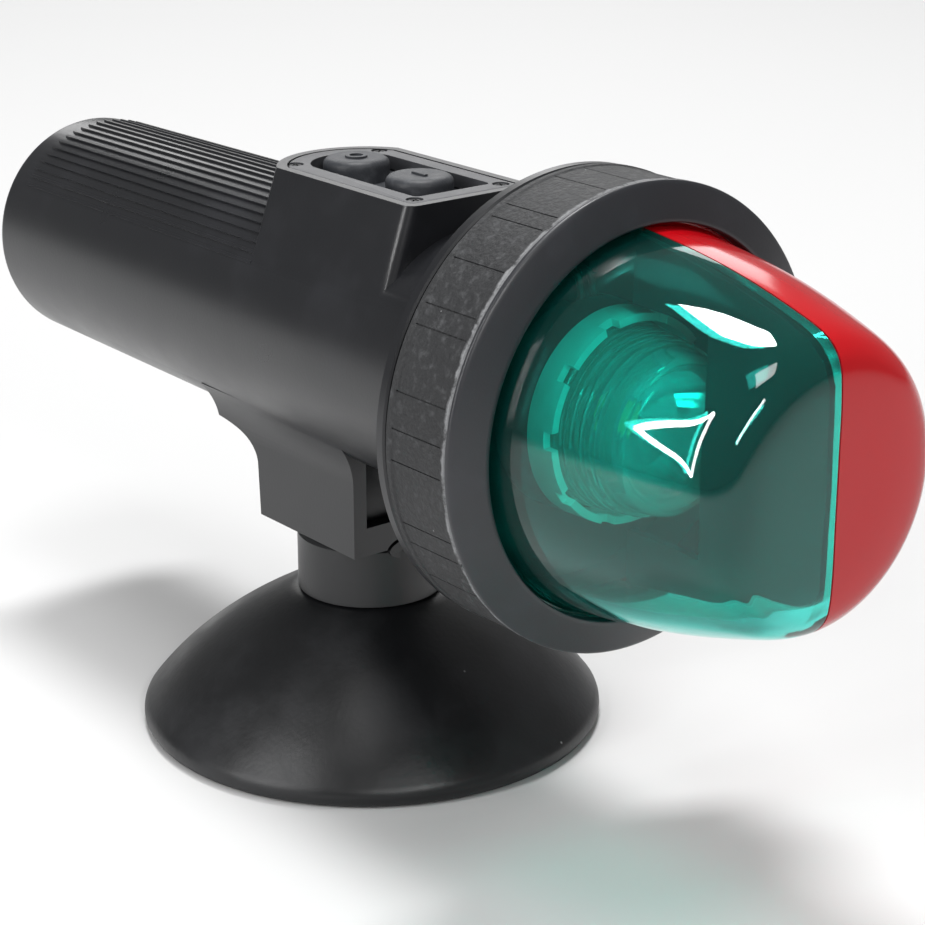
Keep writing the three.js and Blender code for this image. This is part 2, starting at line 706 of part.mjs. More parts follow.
function bulkhead() {
  const plate = lathe([
    [CELL_NUB_RADIUS * 0.35, contactBack - CONTACT_THICKNESS - GAP],
    [BULKHEAD_BOSS_RADIUS, contactBack - CONTACT_THICKNESS - GAP],
    [BULKHEAD_BOSS_RADIUS, bulkheadBack],
    [SPIGOT_RADIUS - SPIGOT_WALL - GAP, bulkheadBack],
    [SPIGOT_RADIUS - SPIGOT_WALL - GAP, bulkheadFront],
    [CELL_NUB_RADIUS * 0.35, bulkheadFront],
  ]);
  let made = solid(plate);
  for (const side of [-1, 1]) {
    const radius = SCREW_SHANK_RADIUS + 0.4;
    const hole = ringAlongAt(side * collarScrewX, radius, bulkheadBack + 1, bulkheadFront - 1);
    made = made.subtract(solid(hole));
  }
  const [front, back] = [bulkheadFront - 1, bulkheadBack + 1];
  const wireSlot = block(-DUCT_HALF_WIDTH, DUCT_HALF_WIDTH, front, back, podFloor, ductTop);
  return made.subtract(solid(wireSlot));
}

/** A plain pin parallel to the lamp axis at a sideways place. */
function ringAlongAt(x, radius, from, to) {
  return new THREE.CylinderGeometry(radius, radius, Math.abs(to - from), 16).translate(
    x,
    (from + to) / 2,
    0,
  );
}

const boardRadius = collarBore - GAP;
const ledBoardBack = collarBack - LED_BOARD_SETBACK;

function lampCollar() {
  let made = solid(
    lathe([
      [COLLAR_FOOT_BORE, collarBack],
      [COLLAR_RADIUS, collarBack],
      [COLLAR_RADIUS - 0.4, collarFront],
      [collarBore, collarFront],
      [collarBore, collarBack - COLLAR_FOOT_THICKNESS],
      [COLLAR_FOOT_BORE, collarBack - COLLAR_FOOT_THICKNESS],
    ]),
  );
  for (let i = 0; i < COLLAR_NOTCHES; i++) {
    const [front, back] = [collarFront - 1, collarFront + NOTCH_DEPTH];
    const half = NOTCH_HALF_WIDTH;
    const notch = block(-half, half, front, back, COLLAR_RADIUS - 3, COLLAR_RADIUS + 1);
    notch.rotateY((2 * Math.PI * (i + 0.5)) / COLLAR_NOTCHES);
    made = made.subtract(solid(notch));
  }
  for (const side of [-1, 1]) {
    const hole = ringAlongAt(side * collarScrewX, SCREW_SHANK_RADIUS + 0.2, collarBack + 1, collarBack - 3);
    made = made.subtract(solid(hole));
  }
  const [wayFront, wayTop] = [collarBack - 1.9, COLLAR_RADIUS + 1];
  const wayBottom = COLLAR_FOOT_BORE - 1;
  const wireWay = block(-DUCT_HALF_WIDTH, DUCT_HALF_WIDTH, wayFront, collarBack + 1, wayBottom, wayTop);
  return made.subtract(solid(wireWay));
}

/** A small pan-head screw along the lamp axis, head forward. */
function collarScrew(side) {
  const seat = collarBack - COLLAR_FOOT_THICKNESS - 0.1;
  return lathe(
    [
      [0, bulkheadBack - 0.2],
      [SCREW_SHANK_RADIUS, bulkheadBack - 0.2],
      [SCREW_SHANK_RADIUS, seat],
      [2, seat],
      [1.6, seat - 1.3],
      [0, seat - 1.3],
    ],
    16,
  ).translate(side * collarScrewX, 0, 0);
}

function ledBoard() {
  return ringAlong(boardRadius, CELL_NUB_RADIUS * 0.3, ledBoardBack, ledBoardBack - BOARD_THICKNESS, 32);
}

const chipBack = ledBoardBack - BOARD_THICKNESS - GAP;
const capBack = chipBack + 0.1;

function ledChip() {
  const half = LED_CHIP_HALF;
  return block(-half, half, chipBack - LED_CHIP_HEIGHT, chipBack, -half, half);
}

/** The clear cap: stepped rings behind a shallow dome, open at the back. */
function lampCap() {
  const ringsFront = capFront + CAP_DOME_LENGTH;
  const step = (ringsFront - capBack) / (2 * CAP_RINGS);
  const outer = [];
  for (let i = 0; i < CAP_RINGS; i++) {
    const radius = THREE.MathUtils.lerp(CAP_RING_RADIUS, CAP_DOME_RADIUS + 1.2, i / (CAP_RINGS - 1));
    outer.push([radius, capBack + step * 2 * i]);
    outer.push([radius, capBack + step * (2 * i + 1)]);
    outer.push([radius - 0.8, capBack + step * (2 * i + 1)]);
    outer.push([radius - 0.8, capBack + step * (2 * i + 2)]);
  }
  const dome = [];
  for (let i = 0; i <= 6; i++) {
    const angle = (Math.PI / 2) * (i / 6);
    dome.push([
      CAP_DOME_RADIUS * Math.cos(angle),
      ringsFront - 2.5 - (ringsFront - capFront - 2.5) * Math.sin(angle),
    ]);
  }
  dome[dome.length - 1][0] = 0;
  const inner = CAP_DOME_RADIUS - CAP_WALL;
  const well = [
    [0, capFront + CAP_WALL + 0.3],
    [inner * 0.7, capFront + CAP_WALL + 1],
    [inner, ringsFront - 2.5],
    [inner, capBack],
  ];
  return lathe([...outer, ...dome, ...well], 32);
}

function reflector() {
  const back = chipBack - 1.8;
  const front = capFront + CAP_DOME_LENGTH + 0.5;
  return lathe(
    [
      [REFLECTOR_THROAT, back],
      [REFLECTOR_THROAT + REFLECTOR_WALL, back],
      [REFLECTOR_RADIUS * 0.75, (back + front) / 2],
      [REFLECTOR_RADIUS, front],
      [REFLECTOR_RADIUS - REFLECTOR_WALL, front],
      [REFLECTOR_RADIUS * 0.75 - REFLECTOR_WALL, (back + front) / 2],
    ],
    40,
  );
}

piece(lamp, "bulkhead", bulkhead(), "black");
piece(lamp, "lamp_collar", lampCollar(), "white");
piece(lamp, "collar_screw_1", collarScrew(-1), "steel");
piece(lamp, "collar_screw_2", collarScrew(1), "steel");
piece(lamp, "led_board", ledBoard(), "board");
piece(lamp, "led_chip", ledChip(), "amber");
piece(lamp, "lamp_cap", lampCap(), "clear");
piece(lamp, "reflector", reflector(), "chrome");

// ---------------------------------------------------------------- lens, divider and screw ring

/** The lens's outer or inner form, turned about the lamp axis. */
function lensForm(inset) {
  const back = lensFlangeBack + (inset > 0 ? 1 : 0);
  const front = lensFront + inset;
  const profile = LENS_PROFILE.map(([along, share]) => [
    lensRootRadius * share - inset,
    ringFront + inset - LENS_LENGTH * along,
  ]);
  return solid(
    lathe([
      [0, back],
      [lensRootRadius - inset, back],
      [lensRootRadius - inset, ringFront],
      ...profile,
      [0, front],
    ]),
  );
}

function lensShell() {
  const flange = solid(
    ringAlong(lensFlangeRadius, lensRootRadius - LENS_WALL, lensFlangeBack, lensFlangeFront),
  );
  return lensForm(0).add(flange).subtract(lensForm(LENS_WALL));
}

/** One coloured half of the lens: side -1 is green, +1 is red. */
function lensHalf(side) {
  const reach = lensFlangeRadius + 1;
  const [x0, x1] = side < 0 ? [-reach, -GAP / 2] : [GAP / 2, reach];
  const keep = solid(block(x0, x1, lensFront - 2, lensFlangeBack + 2, -reach, reach));
  return lensShell().intersect(keep);
}

/** The dark plate between the two halves, cut clear of the cap. */
function lightDivider() {
  const half = DIVIDER_THICKNESS / 2;
  const reach = lensRootRadius + 1;
  const plate = solid(block(-half, half, lensFront, lensFlangeFront, -reach, reach));
  const room = solid(
    block(-half - 1, half + 1, capFront - 1.5, lensFlangeBack, -COLLAR_RADIUS - 1, COLLAR_RADIUS + 1),
  );
  return plate.intersect(lensForm(LENS_WALL + GAP)).subtract(room);
}

function lensGasket() {
  return ringAlong(SPIGOT_RADIUS - 0.2, SPIGOT_RADIUS - SPIGOT_WALL - 0.6, gasketBack, gasketFront);
}

function lensRing() {
  const lipBack = lensFlangeFront - GAP;
  const front = ringFront;
  const shell = solid(
    lathe([
      [ringBore, ringRear],
      [ringShell, ringRear],
      [ringShell, front + GRIP_MARGIN],
      [ringRadius, front + GRIP_MARGIN],
      [ringRadius, front],
      [ringOpening, front - RING_CONE],
      [ringOpening, lipBack],
      [ringBore, lipBack],
    ]),
  );
  const rod = THREAD_ROD + THREAD_CLEARANCE;
  return shell.subtract(threadRod(rod, GROOVE_REAR_TURNS, GROOVE_FRONT_TURNS));
}

function ringGrip() {
  return ringAlong(ringRadius, ringShell + RUN, ringRear, ringFront + GRIP_MARGIN + RUN);
}

piece(lamp, "lens_gasket", lensGasket(), "rubber");
piece(lamp, "lens_green", lensHalf(-1), "green");
piece(lamp, "lens_red", lensHalf(1), "red");
piece(lamp, "light_divider", lightDivider(), "black");
piece(lamp, "lens_ring", lensRing(), "black");
piece(lamp, "ring_grip", ringGrip(), "rubber");

// ---------------------------------------------------------------- switch pod

const boardBottom = podFloor + GAP;
const boardTop = boardBottom + BOARD_THICKNESS;
const switchBottom = boardTop + 0.1;
const switchTop = switchBottom + SWITCH_HEIGHT;
const buttonTop = podTop + BUTTON_PROUD;
const buttonBottom = boardTop + BUTTON_TRAVEL + GAP;
const keypadTop = frameBottom - GAP;
const buttonPlaces = {
  on: -BUTTON_CENTRE - BUTTON_SPACING / 2,
  off: -BUTTON_CENTRE + BUTTON_SPACING / 2,
};

function switchFrame() {
  const plate = solid(raised(podOutline(POD_WALL + RUN), frameBottom, podTop));
  const window = solid(raised(podOutline(POD_WALL + FRAME_BAND), frameBottom - 1, podTop + 1));
  let made = plate.subtract(window);
  for (const [x, y] of screwPlaces()) {
    const headRoom = disc(x, y, SCREW_HEAD_RADIUS + 0.15);
    const counterbore = raised(headRoom, podTop - COUNTERBORE_DEPTH, podTop + 1, 8);
    const hole = raised(disc(x, y, SCREW_SHANK_RADIUS + 0.2), frameBottom - 1, podTop + 1, 8);
    made = made.subtract(solid(counterbore)).subtract(solid(hole));
  }
  return made;
}

/** A frame screw, head sunk in its counterbore. */
function frameScrew(x, y) {
  const seat = podTop - COUNTERBORE_DEPTH + 0.1;
  return upright(
    [
      [0, seat + 0.8],
      [SCREW_HEAD_RADIUS, seat + 0.7],
      [SCREW_HEAD_RADIUS, seat],
      [SCREW_SHANK_RADIUS, seat],
      [SCREW_SHANK_RADIUS, keypadTop - SCREW_LENGTH + 0.5],
      [0, keypadTop - SCREW_LENGTH + 0.5],
    ],
    16,
  ).translate(x, y, 0);
}

function keypadSheet() {
  let made = solid(raised(podOutline(podInset + RUN), keypadTop - KEYPAD_THICKNESS, keypadTop));
  for (const y of Object.values(buttonPlaces)) {
    const hole = raised(disc(0, y, buttonRadius + RUN), keypadTop - 3, keypadTop + 1, 12);
    made = made.subtract(solid(hole));
  }
  for (const [x, y] of screwPlaces()) {
    const notch = raised(disc(x, y, SCREW_SHANK_RADIUS + PILLAR_ROOM), keypadTop - 3, keypadTop + 1, 8);
    made = made.subtract(solid(notch));
  }
  return made;
}

/** A domed rubber button, hollow over its switch. */
function button(y) {
  const crown = 1.4;
  const dome = [];
  for (let i = 0; i <= 5; i++) {
    const angle = (Math.PI / 2) * (i / 5);
    dome.push([buttonRadius - crown + crown * Math.cos(angle), buttonTop - crown + crown * Math.sin(angle)]);
  }
  return upright(
    [
      [buttonRadius, buttonBottom],
      ...dome,
      [0, buttonTop + 0.2],
      [0, buttonTop - BUTTON_WALL],
      [buttonRadius - BUTTON_WALL, buttonTop - BUTTON_WALL],
      [buttonRadius - BUTTON_WALL, buttonBottom],
    ],
    32,
  ).translate(0, y, 0);
}

function switchBoard() {
  let made = solid(raised(podOutline(podInset + GAP), boardBottom, boardTop));
  for (const [x, y] of screwPlaces()) {
    const notch = raised(disc(x, y, SCREW_SHANK_RADIUS + PILLAR_ROOM), boardBottom - 1, boardTop + 1, 8);
    made = made.subtract(solid(notch));
  }
  return made;
}

function plunger(y) {
  const top = buttonTop - BUTTON_WALL - 0.1;
  return new THREE.CylinderGeometry(PLUNGER_RADIUS, PLUNGER_RADIUS, top - switchTop - BUTTON_TRAVEL - 0.1, 16)
    .rotateX(Math.PI / 2)
    .translate(0, y, (top + switchTop + BUTTON_TRAVEL + 0.1) / 2);
}

piece(lamp, "switch_frame", switchFrame(), "black");
screwPlaces().forEach(([x, y], i) => piece(lamp, "frame_screw_" + (i + 1), frameScrew(x, y), "steel"));
piece(lamp, "keypad_sheet", keypadSheet(), "rubber");
piece(lamp, "switch_board", switchBoard(), "board");
for (const [name, y] of Object.entries(buttonPlaces)) {
  const half = switchSize / 2;
  piece(lamp, "button_" + name, button(y), "rubber");
  piece(lamp, "plunger_" + name, plunger(y), "white");
  piece(lamp, "switch_" + name, block(-half, half, y - half, y + half, switchBottom, switchTop), "blackWire");
}

// ---------------------------------------------------------------- wires

/** A switch wire: forward through the duct, then down between bulkhead and led_board. */
function switchWire(x) {
  const z = (podFloor + ductTop) / 2;
  const start = -POD_FRONT + podInset;
  const turn = collarBack - 1;
  const points = [
    [x, start, z],
    [x, start - 8, z],
    [x, turn + 6, z],
    [x, turn + 0.8, z - 0.6],
    [x, turn, z - 2],
    [x, turn, boardRadius - 2],
    [x, turn, boardRadius - 4],
  ];
  const curve = new THREE.CatmullRomCurve3(points.map((p) => new THREE.Vector3(...p)));
  return wireAlong(curve, WIRE_RADIUS, 30, 8);
}

piece(lamp, "wire_red", switchWire(-1.2), "redWire");
piece(lamp, "wire_black", switchWire(1.2), "blackWire");

export default root;
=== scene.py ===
"""Looks of the portable bow light: moulded black tube, red and green lens, rubber grip and suction cup.

Lengths are in millimetres until a mesh is finished, when it is scaled to metres. Each sub-assembly
works in its own seat: the lamp's about the lamp axis over the suction cup's axis, the foot's about
the suction cup's axis at the deck. The lens points along -Y, green on -X and red on +X.
"""

import json
import logging
import math
from collections.abc import Iterable, Sequence
from dataclasses import dataclass, field
from enum import Enum

import bmesh
import bpy
from mathutils import Matrix, Vector


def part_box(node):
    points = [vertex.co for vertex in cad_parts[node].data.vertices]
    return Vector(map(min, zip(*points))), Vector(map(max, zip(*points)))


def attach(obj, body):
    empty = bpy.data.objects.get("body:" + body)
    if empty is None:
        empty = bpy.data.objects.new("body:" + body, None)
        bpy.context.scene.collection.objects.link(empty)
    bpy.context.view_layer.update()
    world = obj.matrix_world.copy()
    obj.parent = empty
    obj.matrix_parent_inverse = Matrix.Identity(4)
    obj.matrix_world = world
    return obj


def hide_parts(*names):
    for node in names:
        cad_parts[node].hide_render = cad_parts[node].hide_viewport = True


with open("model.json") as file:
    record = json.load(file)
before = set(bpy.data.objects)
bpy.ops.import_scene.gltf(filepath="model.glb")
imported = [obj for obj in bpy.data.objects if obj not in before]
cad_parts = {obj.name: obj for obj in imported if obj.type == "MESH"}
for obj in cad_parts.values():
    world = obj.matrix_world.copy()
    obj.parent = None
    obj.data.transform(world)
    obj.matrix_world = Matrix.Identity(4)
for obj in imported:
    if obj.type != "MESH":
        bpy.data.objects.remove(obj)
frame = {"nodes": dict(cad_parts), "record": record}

log = logging.getLogger("navigation_light")

MM = 0.001
ROUND = 144  # steps round a large turned piece
FINE_ROUND = 192  # steps round the ring and the lens, whose edges show most
THREAD_START = 2.2  # flange or ring edge to the thread's rear end
THREAD_ROD = 0.9  # radius of the spigot's ridge
THREAD_ROOM = 0.35  # how much wider the ring's groove is
DUST = "9a9b9c"
# pale colour of the grip's ragged front-edge line: rubbed rubber with a painted edge highlight in it
RUBBED_EDGE_AND_HIGHLIGHT = "8d8e90"
Point = tuple[float, float]
Outline = list[Point]
Place = tuple[float, float, float]
Mesh = bmesh.types.BMesh
Socket = bpy.types.NodeSocket


# ------------------------------------------------------------------ seats taken from the frame


@dataclass(frozen=True)
class Seat:
    """A local origin in the row frame, in millimetres."""

    x: float
    y: float
    z: float

    def matrix(self) -> Matrix:
        """Millimetres about this seat to metres in the row frame."""
        return Matrix.Scale(MM, 4) @ Matrix.Translation((self.x, self.y, self.z))


def middle(node: str) -> Vector:
    """Centre of a node's box in millimetres."""
    low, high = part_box(node)
    return (low + high) / 2 / MM


FOOT_SEAT = Seat(0.0, middle("suction_cup").y, 0.0)
LAMP_SEAT = Seat(0.0, middle("suction_cup").y, middle("ring_grip").z)


def span(node: str, axis: int, seat: Seat = LAMP_SEAT) -> tuple[float, float]:
    """Where a node starts and ends along an axis, in millimetres from a seat.

    Args:
        node: CAD node's name.
        axis: 0, 1 or 2 for X, Y or Z.
        seat: the local origin.

    Returns:
        The low and the high value.
    """
    low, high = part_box(node)
    origin = (seat.x, seat.y, seat.z)[axis]
    return low[axis] / MM - origin, high[axis] / MM - origin


# ------------------------------------------------------------------ material tools


def linear(code: str) -> tuple[float, float, float, float]:
    """Turns an sRGB hex code into linear RGBA.

    Args:
        code: six hex digits.

    Returns:
        Red, green, blue and an alpha of one.
    """
    values = [int(code[i : i + 2], 16) / 255 for i in (0, 2, 4)]
    lin = [v / 12.92 if v <= 0.04045 else ((v + 0.055) / 1.055) ** 2.4 for v in values]
    return (lin[0], lin[1], lin[2], 1.0)


def add_node(
    tree: bpy.types.NodeTree, kind: str, settings: dict | None = None, links: dict | None = None
) -> bpy.types.Node:
    """Adds a node, sets its properties or socket values and links its inputs.

    Args:
        tree: the node tree.
        kind: the node's type name.
        settings: property names or input names to values.
        links: input names or indices to output sockets.

    Returns:
        The new node.
    """
    node = tree.nodes.new(kind)
    for key, value in (settings or {}).items():
        if isinstance(key, str) and hasattr(node, key):
            setattr(node, key, value)
        else:
            node.inputs[key].default_value = value
    for key, source in (links or {}).items():
        tree.links.new(source, node.inputs[key])
    return node


def object_coordinates(tree: bpy.types.NodeTree) -> Socket:
    """Object coordinates in metres."""
    return add_node(tree, "ShaderNodeTexCoord").outputs["Object"]


def scale_for(size_mm: float) -> float:
    """Texture scale whose features are about size_mm across, with coordinates in metres."""
    return 1.0 / (size_mm * MM)


@dataclass(frozen=True)
class Moulded:
    """Injection-moulded plastic or pressed rubber: one colour, faint mottling and a fine skin.

    Attributes:
        name: common name of the stuff and how its surface was made.
        colour: sRGB hex of the body colour.
        worn: sRGB hex of the scuffed or dusty patches.
        roughness: typical roughness of the clean skin.
        spread: how much the roughness wanders.
        ior: index of refraction.
        grain_mm: size of the skin's grain.
        bump: height of the grain as a share.
        wear: share of the surface that shows the worn colour.
        wear_mm: size of the worn patches.
        dust_mm: spacing of the tiny dust specks; 0 leaves them out.
        scuffed_and_highlit_node: CAD node whose front edge gets a pale ragged line, partly rubbed rubber and
            partly a painted edge highlight; empty leaves it whole.
    """

    name: str
    colour: str
    worn: str
    roughness: float
    spread: float = 0.08
    ior: float = 1.5
    grain_mm: float = 0.6
    bump: float = 0.05
    wear: float = 0.3
    wear_mm: float = 9.0
    dust_mm: float = 0.0
    scuffed_and_highlit_node: str = ""

    def with_dust(self, tree: bpy.types.NodeTree, colour: Socket) -> Socket:
        """Scatters tiny pale specks over a colour, about half of them left out at random.

        Real dust is finer than this; the specks are drawn about 0.3 mm across so that they show.

        Args:
            tree: the material's node tree.
            colour: colour of the clean skin.

        Returns:
            The colour with its specks.
        """
        place = object_coordinates(tree)
        cells = add_node(
            tree, "ShaderNodeTexVoronoi", {"Scale": scale_for(self.dust_mm)}, {"Vector": place}
        )
        dots = add_node(
            tree,
            "ShaderNodeMapRange",
            {"From Min": 0.03, "From Max": 0.055, "To Min": 1.0, "To Max": 0.0},
            {"Value": cells.outputs["Distance"]},
        )
        pick = add_node(tree, "ShaderNodeSeparateColor", links={"Color": cells.outputs["Color"]})
        chosen = add_node(
            tree, "ShaderNodeMath", {"operation": "GREATER_THAN", 1: 0.55}, {0: pick.outputs["Red"]}
        )
        share = add_node(
            tree,
            "ShaderNodeMath",
            {"operation": "MULTIPLY"},
            {0: dots.outputs["Result"], 1: chosen.outputs["Value"]},
        )
        mixed = add_node(
            tree,
            "ShaderNodeMix",
            {"data_type": "RGBA", 7: linear(DUST)},
            {0: share.outputs["Value"], 6: colour},
        )
        return mixed.outputs[2]

    def with_scuff_and_edge_highlight(self, tree: bpy.types.NodeTree, colour: Socket) -> Socket:
        """Paints a pale ragged line about a millimetre wide along the front edge: partly rubbed rubber,
        partly a painted edge highlight.

        Args:
            tree: the material's node tree.
            colour: colour of the rubber without the pale edge line.

        Returns:
            The colour with its pale edge.
        """
        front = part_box(self.scuffed_and_highlit_node)[0].y
        place = object_coordinates(tree)
        axes = add_node(tree, "ShaderNodeSeparateXYZ", links={"Vector": place})
        near = add_node(
            tree,
            "ShaderNodeMapRange",
            {"From Min": front, "From Max": front + 1.9 * MM, "To Min": 1.0, "To Max": 0.0},
            {"Value": axes.outputs["Y"]},
        )
        rag = add_node(
            tree,
            "ShaderNodeTexNoise",
            {"Scale": scale_for(2.6), "Detail": 6.0, "Roughness": 0.7},
            {"Vector": place},
        )
        both = add_node(
            tree,
            "ShaderNodeMath",
            {"operation": "MULTIPLY"},
            {0: near.outputs["Result"], 1: rag.outputs["Fac"]},
        )
        share = add_node(
            tree,
            "ShaderNodeMapRange",
            {"From Min": 0.3, "From Max": 0.42, "To Min": 0.0, "To Max": 0.75},
            {"Value": both.outputs["Value"]},
        )
        mixed = add_node(
            tree,
            "ShaderNodeMix",
            {"data_type": "RGBA", 7: linear(RUBBED_EDGE_AND_HIGHLIGHT)},
            {0: share.outputs["Result"], 6: colour},
        )
        return mixed.outputs[2]

    def material(self) -> bpy.types.Material:
        """Builds the material at its first use and hands the same one back afterwards.

        Returns:
            The material.
        """
        made = bpy.data.materials.get(self.name)
        if made:
            return made
        made = bpy.data.materials.new(self.name)
        made.use_nodes = True
        tree = made.node_tree
        shader = tree.nodes["Principled BSDF"]
        place = object_coordinates(tree)
        patches = add_node(
            tree,
            "ShaderNodeTexNoise",
            {"Scale": scale_for(self.wear_mm), "Detail": 5.0, "Roughness": 0.62},
            {"Vector": place},
        )
        mask = add_node(
            tree,
            "ShaderNodeMapRange",
            {"From Min": 0.62 - 0.3 * self.wear, "From Max": 0.78, "To Min": 0.0, "To Max": 0.9},
            {"Value": patches.outputs["Fac"]},
        )
        tint = add_node(
            tree,
            "ShaderNodeMix",
            {"data_type": "RGBA", 6: linear(self.colour), 7: linear(self.worn)},
            {0: mask.outputs["Result"]},
        )
        colour = tint.outputs[2]
        if self.dust_mm:
            colour = self.with_dust(tree, colour)
        # pale ragged front-edge line: rubbed rubber with a painted edge highlight
        if self.scuffed_and_highlit_node:
            colour = self.with_scuff_and_edge_highlight(tree, colour)
        tree.links.new(colour, shader.inputs["Base Color"])
        grain = add_node(
            tree,
            "ShaderNodeTexNoise",
            {"Scale": scale_for(self.grain_mm), "Detail": 3.0, "Roughness": 0.5},
            {"Vector": place},
        )
        rough = add_node(
            tree,
            "ShaderNodeMapRange",
            {
                "From Min": 0.3,
                "From Max": 0.7,
                "To Min": self.roughness - self.spread,
                "To Max": self.roughness + self.spread,
            },
            {"Value": patches.outputs["Fac"]},
        )
        tree.links.new(rough.outputs["Result"], shader.inputs["Roughness"])
        relief = add_node(
            tree,
            "ShaderNodeBump",
            {"Strength": self.bump, "Distance": self.grain_mm * MM},
            {"Height": grain.outputs["Fac"]},
        )
        tree.links.new(relief.outputs["Normal"], shader.inputs["Normal"])
        shader.inputs["IOR"].default_value = self.ior
        return made


@dataclass(frozen=True)
class ClearMoulded:
    """Polished transparent plastic, tinted through its wall.

    Attributes:
        name: common name and making.
        colour: sRGB hex of the tint that one crossing of the wall gives.
        clearness: share of the light that goes through.
        roughness: polish of the skin.
        ripple: strength of the faint moulding ripple.
        ior: index of refraction, 1.586 for polycarbonate and 1.49 for acrylic.
    """

    name: str
    colour: str
    clearness: float
    roughness: float = 0.03
    ripple: float = 0.02
    ior: float = 1.586

    def material(self) -> bpy.types.Material:
        """Builds the material at its first use and hands the same one back afterwards.

        Returns:
            The material.
        """
        made = bpy.data.materials.get(self.name)
        if made:
            return made
        made = bpy.data.materials.new(self.name)
        made.use_nodes = True
        tree = made.node_tree
        shader = tree.nodes["Principled BSDF"]
        shader.inputs["Base Color"].default_value = linear(self.colour)
        shader.inputs["Transmission Weight"].default_value = self.clearness
        shader.inputs["IOR"].default_value = self.ior
        place = object_coordinates(tree)
        flow = add_node(
            tree,
            "ShaderNodeTexNoise",
            {"Scale": scale_for(14.0), "Detail": 1.5},
            {"Vector": place},
        )
        relief = add_node(
            tree,
            "ShaderNodeBump",
            {"Strength": self.ripple, "Distance": 0.5 * MM},
            {"Height": flow.outputs["Fac"]},
        )
        tree.links.new(relief.outputs["Normal"], shader.inputs["Normal"])
        rough = add_node(
            tree,
            "ShaderNodeMapRange",
            {"To Min": self.roughness * 0.6, "To Max": self.roughness * 1.6},
            {"Value": flow.outputs["Fac"]},
        )
        tree.links.new(rough.outputs["Result"], shader.inputs["Roughness"])
        path = add_node(tree, "ShaderNodeLightPath")
        passed = [math.sqrt(c * self.clearness) for c in linear(self.colour)[:3]]
        through = add_node(tree, "ShaderNodeBsdfTransparent", {"Color": (*passed, 1.0)})
        blend = add_node(
            tree,
            "ShaderNodeMixShader",
            links={0: path.outputs["Is Shadow Ray"], 1: shader.outputs["BSDF"], 2: through.outputs["BSDF"]},
        )
        tree.links.new(blend.outputs["Shader"], tree.nodes["Material Output"].inputs["Surface"])
        return made


@dataclass(frozen=True)
class Plated:
    """Bare or plated metal with faint handling marks.

    Attributes:
        name: common name and making.
        colour: sRGB hex of the metal.
        roughness: roughness of the plating.
        mark_mm: size of the handling marks.
    """

    name: str
    colour: str
    roughness: float
    mark_mm: float = 2.0

    def material(self) -> bpy.types.Material:
        """Builds the material at its first use and hands the same one back afterwards.

        Returns:
            The material.
        """
        made = bpy.data.materials.get(self.name)
        if made:
            return made
        made = bpy.data.materials.new(self.name)
        made.use_nodes = True
        tree = made.node_tree
        shader = tree.nodes["Principled BSDF"]
        shader.inputs["Base Color"].default_value = linear(self.colour)
        shader.inputs["Metallic"].default_value = 1.0
        marks = add_node(
            tree,
            "ShaderNodeTexNoise",
            {"Scale": scale_for(self.mark_mm), "Detail": 4.0},
            {"Vector": object_coordinates(tree)},
        )
        rough = add_node(
            tree,
            "ShaderNodeMapRange",
            {"To Min": max(self.roughness - 0.08, 0.02), "To Max": self.roughness + 0.1},
            {"Value": marks.outputs["Fac"]},
        )
        tree.links.new(rough.outputs["Result"], shader.inputs["Roughness"])
        return made


